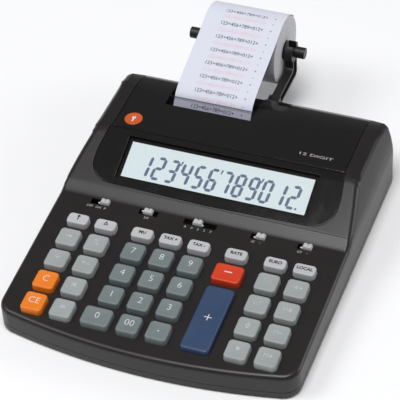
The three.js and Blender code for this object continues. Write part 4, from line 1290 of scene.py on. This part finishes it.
@dataclass
class DisplayPanel:
    """The liquid-crystal panel behind its window, with the bezel, the emblem and the printing."""

    shown: str = "123456789012"
    pitch: float = 9.66
    last_x: float = 54.4
    digit_width: float = 5.3
    digit_height: float = 15.8
    bar: float = 2.15
    bar_gap: float = 0.18
    lean: float = 0.09
    base: float = 4.0
    ink: float = 0.04
    mark_gap: float = 1.8
    marked: tuple[int, ...] = (2, 5, 8)
    apostrophe: tuple[tuple[float, float], ...] = ((-0.8, -2.4), (0, -2.4), (0.8, 1.0), (-0.5, 1.0))
    point_size: float = 1.5
    panel_margin: float = 0.9
    bezel_edge: float = 0.3
    bezel_rim: float = 0.45
    emblem_x: float = -71.8
    emblem_profile: tuple[tuple[float, float], ...] = (
        (6.25, -0.3), (6.25, 0.25), (6.0, 0.4), (5.2, 0.4), (5.05, 0.3), (2.5, 0.3))
    wording_x: float = 60.9
    wording_width: float = 23.5
    place: Matrix = field(default_factory=DISPLAY.matrix)

    def build(self) -> None:
        """Makes the panel's digits and its black edge, the bezel and the window."""
        dress("lcd_panel", Finish.CRYSTAL)
        dress("display_window", Finish.WINDOW)
        softened(
            "display_bezel", "bezel", Finish.GLOSS, self.bezel_edge, rim=self.on_face,
            rim_width=self.bezel_rim,
        )
        self.low, self.high = corners_of(points_of("lcd_panel", self.place))
        self.digits()
        self.black_edge()
        self.emblem()
        self.wording()

    def on_face(self, place: Vector) -> bool:
        """Whether a place is on the outside of the bezel."""
        return (self.place.inverted() @ place).z > -0.7 or place.y > 13

    def bar_outline(self, segment: Segment) -> Outline:
        """One bar of a digit, with pointed ends.

        Args:
            segment: which bar.

        Returns:
            Its counter-clockwise outline.
        """
        x0, y0, x1, y1 = segment.value
        start = Vector((x0 * self.digit_width, y0 * self.digit_height / 2))
        end = Vector((x1 * self.digit_width, y1 * self.digit_height / 2))
        ahead = (end - start).normalized()
        side = Vector((-ahead.y, ahead.x)) * self.bar / 2
        start, end = start + ahead * self.bar_gap, end - ahead * self.bar_gap
        near, far = start + ahead * self.bar / 2, end - ahead * self.bar / 2
        corners = (start, near - side, far - side, end, far + side, near + side)
        return [(p.x + self.lean * p.y, p.y) for p in corners]

    def digits(self) -> None:
        """The lit bars, the apostrophes between thousands and the point."""
        ink = Solid(self.place)
        floor, top = self.high.z, self.high.z + self.ink
        foot, head = self.low.y + self.base, self.low.y + self.base + self.digit_height
        slip = self.lean * self.digit_height
        for number, digit in enumerate(self.shown):
            middle = self.last_x - (len(self.shown) - 1 - number) * self.pitch
            left = middle - self.digit_width / 2
            for segment in LIT[digit].split():
                outline = self.bar_outline(Segment[segment])
                ink.prism([(left + x, foot + y) for x, y in outline], floor, top)
            mark_x = left + self.digit_width + self.mark_gap
            if number in self.marked:
                ink.prism([(mark_x + slip + x, head + y) for x, y in self.apostrophe], floor, top)
        point = rounded_rectangle(self.point_size, self.point_size, 0.4, 2)
        ink.prism([(mark_x - 0.2 + x, foot + y) for x, y in point], floor, top)
        ink.make("display_digits", Finish.SEGMENT, sharp=CRISP)

    def black_edge(self) -> None:
        """A black frame printed round the panel's bright area."""
        floor, top = self.high.z + 0.001, self.high.z + 0.05
        width, length = self.high.x - self.low.x, self.high.y - self.low.y
        x, y, _ = (self.low + self.high) / 2
        hole = 2 * self.panel_margin
        outer = rounded_rectangle(width, length, 0.5)
        inner = rounded_rectangle(width - hole, length - hole, 0.4)
        edge = Solid(self.place)
        edge.loop([(x + px, y + py, z) for px, py in ring] for ring, z in (
            (outer, floor), (outer, top), (inner, top), (inner, floor)))
        edge.make("panel_edge", Finish.BLACK_INK, sharp=CRISP)

    def emblem(self) -> None:
        """A plain round emblem on the printer cover."""
        skin = Skin("printer_cover")
        x0, y0 = self.emblem_x, COVER_PRINT_Y
        disc = Solid()
        disc.stack(
            [(x, y, skin.height(x, y) + lift) for x, y in circle(x0, y0, radius, 48)]
            for radius, lift in self.emblem_profile)
        disc.make("emblem", Finish.BADGE_ORANGE, sharp=40)
        sign = Solid()
        arrow = Mark(Sign.UP, 2.6, x0, y0 - 0.1, 1.0)
        arrow.add_to(sign, lambda p: (p.x, p.y, skin.height(p.x, p.y) + 0.33 + p.z), 0.1)
        sign.make("emblem_sign", Finish.BADGE_WHITE, sharp=CRISP)

    def wording(self) -> None:
        """Generic printing on the printer cover."""
        skin = Skin("printer_cover")
        mesh = lettering("12 DIGIT", 2.6, 0.06, width=self.wording_width)
        mesh.transform(Matrix.Translation((self.wording_x, COVER_PRINT_Y, 0)))
        text = Solid()
        text.take(mesh, lambda p: (p.x, p.y, skin.height(p.x, p.y) + 0.03 + p.z))
        text.make("cover_wording", Finish.GREY_INK, sharp=CRISP)


# ---- Printer and paper ----
def bezier(points: Sequence[Point], steps: int) -> list[Vector]:
    """A cubic curve.

    Args:
        points: its two ends with the two control points between them.
        steps: how many steps it has.

    Returns:
        Points along it, both ends included.
    """
    made = []
    for i in range(steps + 1):
        t = i / steps
        weights = ((1 - t) ** 3, 3 * t * (1 - t) ** 2, 3 * t * t * (1 - t), t**3)
        made.append(Vector([sum(w * p[axis] for w, p in zip(weights, points)) for axis in (0, 1)]))
    return made


@dataclass
class PrintedStrip:
    """The printed paper strip, up past the tear plate and over the roll."""

    left: float = -52.5
    right: float = 4.5
    thickness: float = 0.16
    tear_edge: tuple[float, float] = (212.2, 51.0)
    lower_end: tuple[float, float] = (200.5, 30.0)
    exit_angle: float = 57.0
    rise: float = 9.0
    exit_pulls: tuple[float, float] = (8.0, 9.0)
    landing_pull: float = 26.0
    roll_y: float = 284.0
    roll_z: float = 49.0
    lap_radius: float = 25.5
    lap_start: float = 0.62 * math.pi
    lap_end: float = 0.2 * math.pi
    lap_steps: int = 24
    line_step: float = 5.85
    first_line: float = -5.2
    line_count: int = 15
    digit_height: float = 3.0
    figures: str = "123+456+789+012+"
    figures_share: float = 0.55
    columns: tuple[float, float] = (0.505, 0.88)
    ink: float = 0.03

    def path(self) -> list[Vector]:
        """The strip's middle line.

        Returns:
            Points of place along Y and height, from the platen to the roll.
        """
        angle = math.radians(self.exit_angle)
        exit_way = Vector((math.cos(angle), math.sin(angle)))
        tear, lower = Vector(self.tear_edge), Vector(self.lower_end)
        before, after = self.exit_pulls
        lap = []
        for i in range(self.lap_steps + 1):
            a = self.lap_start + (self.lap_end - self.lap_start) * i / self.lap_steps
            reach = Vector((math.cos(a), math.sin(a))) * self.lap_radius
            lap.append(Vector((self.roll_y, self.roll_z)) + reach)
        along = Vector((math.sin(self.lap_start), -math.cos(self.lap_start)))
        rise = lower + Vector((0, self.rise))
        climb = bezier([lower, rise, tear - exit_way * before, tear], 10)
        descent = lap[0] - along * self.landing_pull
        fall = bezier([tear, tear + exit_way * after, descent, lap[0]], 40)
        self.climb_length = sum((b - a).length for a, b in zip(climb, climb[1:]))
        return climb + fall[1:] + lap[1:]

    def measure(self) -> None:
        """Works out the distances along the strip."""
        self.points = self.path()
        self.lengths = [0.0]
        for first, second in zip(self.points, self.points[1:]):
            self.lengths.append(self.lengths[-1] + (second - first).length)

    def at(self, distance: float, lift: float) -> tuple[float, float]:
        """Finds a place on the strip.

        Args:
            distance: how far along the strip it is.
            lift: how far in front of the strip's middle it is.

        Returns:
            The place along Y in the row frame, and the height.
        """
        index = 0
        while index < len(self.points) - 2 and self.lengths[index + 1] < distance:
            index += 1
        first, second = self.points[index], self.points[index + 1]
        start, end = self.lengths[index], self.lengths[index + 1]
        share = (distance - start) / (end - start)
        ahead = (second - first).normalized()
        if index + 2 < len(self.points):
            following = (self.points[index + 2] - second).normalized()
            ahead = ahead.lerp(following, share * 0.5).normalized()
        spot = first.lerp(second, share) + Vector((-ahead.y, ahead.x)) * lift
        return FRONT_Y + spot.x, spot.y

    def build(self) -> None:
        """Makes the strip and all that is printed on it."""
        self.measure()
        half = self.thickness / 2
        rows = []
        for distance in self.lengths:
            front, back = self.at(distance, half), self.at(distance, -half)
            rows.append([
                (self.left, *back), (self.right, *back), (self.right, *front), (self.left, *front)])
        strip = Solid()
        strip.stack(reversed(rows))
        strip.make("paper_strip", Finish.PAPER, ROOT, "paper", ["printed_strip"])
        self.printing()

    def printing(self) -> None:
        """Alternate black and red lines of figures, each with a mark in black."""
        front = self.thickness / 2 + 0.02
        width = self.right - self.left
        black, red = Solid(), Solid()
        for number in range(self.line_count):
            distance = self.climb_length + self.first_line + number * self.line_step
            dark = number % 2 == 0
            line = lettering(
                self.figures, self.digit_height, self.ink, self.figures_share * width, self.ink)
            mark = lettering("\u2022" if dark else "-", self.digit_height, self.ink)
            groups = zip((line, mark), (black if dark else red, black), self.columns)
            for mesh, solid, column in groups:
                mesh.transform(Matrix.Translation((self.left + column * width, 0, 0)))
                solid.take(mesh, lambda p: (p.x, *self.at(distance + p.y, front + p.z)))
        black.make("black_figures", Finish.PRINT_BLACK, sharp=CRISP)
        red.make("red_figures", Finish.PRINT_RED, sharp=CRISP)


@dataclass
class Printer:
    """The printer cover, tear plate, chassis, drum and platen, with the strip."""

    cover_edge: float = 0.3
    cover_rim: float = 0.45
    plate_edge: float = 0.2
    near: float = 0.2
    tooth_width: float = 0.95
    tooth_height: float = 0.55
    tooth_depth: float = 0.35
    tooth_root: float = 0.3
    tooth_inset: float = 1.0

    def build(self) -> None:
        """Makes the cover and dresses the mechanism under it."""
        softened(
            "printer_cover", "cover", Finish.GLOSS, self.cover_edge, rim=self.on_edge,
            rim_width=self.cover_rim,
        )
        softened("tear_bar", "tear_plate", Finish.TEAR_PLATE, self.plate_edge)
        self.teeth()
        dress("printer_frame", Finish.STEEL)
        dress("platen_roller", Finish.BLACK_RUBBER)
        dress("print_drum", Finish.KNOB)
        PrintedStrip().build()

    def on_edge(self, place: Vector) -> bool:
        """Whether a place is on the cover's outer edge."""
        low, high = (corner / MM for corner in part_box("printer_cover"))
        return min(place.x - low.x, high.x - place.x, place.y - low.y) < self.near

    def teeth(self) -> None:
        """A row of dark teeth along the upper edge of the tear plate."""
        low, high = (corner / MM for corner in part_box("tear_bar"))
        y, root = high.y - self.tooth_inset, self.tooth_root
        z = high.z - root
        edge = Solid()
        for number in range(int((high.x - low.x) / self.tooth_width)):
            x = low.x + root + number * self.tooth_width
            tip = (x + self.tooth_width / 2, z + root + self.tooth_height)
            face = ((x, z), (x + self.tooth_width, z), tip)
            edge.stack([(px, py, pz) for px, pz in face] for py in (y - self.tooth_depth, y))
        edge.make("tear_teeth", Finish.BLACK_INK, sharp=CRISP)


@dataclass
class PaperSupply:
    """The wound roll on its spindle, held between two arms."""

    radius: float = 25.0
    bore: float = 6.0
    wall: float = 1.3
    core_inset: float = 0.5
    layers: int = 12
    unevenness: float = 0.12
    unevenness_step: float = 2.4
    shoulder: float = 0.25
    sides: int = 128
    spindle_edge: float = 0.35
    arm_edge: float = 0.45

    def build(self) -> None:
        """Makes the roll, the spindle and both arms."""
        self.roll()
        softened("roll_spindle", "spindle", Finish.ARM, self.spindle_edge, body="roll")
        for side in ("left", "right"):
            softened(f"holder_arm_{side}", f"{side}_arm", Finish.ARM, self.arm_edge)

    def roll(self) -> None:
        """A wound roll whose edges are a little uneven, on a card core."""
        low, high = (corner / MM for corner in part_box("paper_roll"))
        y, z = (low.y + high.y) / 2, (low.z + high.z) / 2
        first = self.bore + self.wall
        side = [(self.core_inset, self.bore), (self.core_inset, first)]
        for i in range(self.layers):
            radius = first + (self.radius - self.shoulder - first) * i / self.layers
            uneven = self.unevenness * math.sin(i * self.unevenness_step) + self.unevenness
            side.append((uneven, radius))
        side += [(0.1, self.radius - 0.2), (0.3, self.radius)]
        profile = [(low.x + inset, radius) for inset, radius in side]
        profile += [(high.x - inset, radius) for inset, radius in reversed(side)]
        paper = Solid()
        paper.loop(
            [(x, py, pz) for py, pz in circle(y, z, radius, self.sides)] for x, radius in profile)
        paper.make("roll_of_paper", Finish.ROLL_END, "roll", "paper", ["paper_roll"], sharp=40)


# ---- Studio ----
@dataclass
class Studio:
    """A pale floor, soft lights and the camera."""

    floor_color: Color = (0.97, 0.97, 0.975)
    floor_reach: float = 6.0
    floor_drop: float = 0.00002
    sky_color: Color = (0.93, 0.95, 1.0)
    sky_strength: float = 0.2
    target: tuple[float, float, float] = (0, 0, 0.03)
    camera_place: tuple[float, float, float] = (367.4, -898.1, 919.0)
    lens: float = 174.5
    sensor: float = 36.0
    right: tuple[float, float, float] = (0.9361, 0.34823, -0.04947)
    down: tuple[float, float, float] = (0.20372, -0.65145, -0.73083)
    ahead: tuple[float, float, float] = (-0.28673, 0.67405, -0.68076)

    def build(self) -> None:
        """Makes the floor, the lights, the surroundings and the camera."""
        self.floor()
        self.light("front_light", (0.1, -0.75, 3.1), 1.5, 68.0)
        self.light("left_light", (-1.8, -0.9, 2.2), 1.2, 24.0)
        self.light("right_light", (1.9, 1.1, 0.9), 0.9, 11.0)
        self.surroundings()
        self.camera()

    def floor(self) -> None:
        """A large pale floor, a hair under the feet."""
        reach, level = self.floor_reach, -self.floor_drop
        corners = [(x * reach, y * reach, level) for x, y in ((-1, -1), (1, -1), (1, 1), (-1, 1))]
        mesh = bpy.data.meshes.new("floor")
        mesh.from_pydata(corners, [], [(0, 1, 2, 3)])
        mesh.materials.append(PaperFinish("floor_paint", self.floor_color).material())
        placed("floor", mesh)

    def light(self, name: str, place: Point, size: float, power: float) -> None:
        """A soft square light that looks at the calculator.

        Args:
            name: the light's name.
            place: where it stands, in metres.
            size: the length of its sides, in metres.
            power: its power in watts.
        """
        data = bpy.data.lights.new(name, "AREA")
        data.size = size
        data.energy = power
        made = placed(name, data)
        made.location = place
        aim = Vector(self.target) - Vector(place)
        made.rotation_euler = aim.to_track_quat("-Z", "Y").to_euler()

    def surroundings(self) -> None:
        """An even pale surround."""
        world = bpy.data.worlds.new("surround")
        world.use_nodes = True
        shade = world.node_tree.nodes["Background"]
        shade.inputs["Color"].default_value = (*self.sky_color, 1)
        shade.inputs["Strength"].default_value = self.sky_strength
        bpy.context.scene.world = world
        bpy.context.scene.view_settings.view_transform = "Standard"

    def camera(self) -> None:
        """The camera, from the front, above and to the right."""
        data = bpy.data.cameras.new("camera")
        data.lens = self.lens
        data.sensor_width = self.sensor
        made = placed("camera", data)
        up, back = -Vector(self.down), -Vector(self.ahead)
        turn = Matrix((Vector(self.right), up, back)).transposed().to_4x4()
        made.matrix_world = Matrix.Translation(Vector(self.camera_place) * MM) @ turn
        bpy.context.scene.camera = made


def main() -> None:
    """Builds the calculator in the order it is put together, then the studio round it."""
    logging.basicConfig(level=logging.INFO, format="%(name)s: %(message)s")
    for assembly in (
        Housings(), Keyboard(), SlideSwitches(), DisplayPanel(), Printer(), PaperSupply(), Studio(),
    ):
        assembly.build()
        LOG.info("built %s", type(assembly).__name__)


if __name__ == "__main__":
    main()
    bpy.context.view_layer.update()
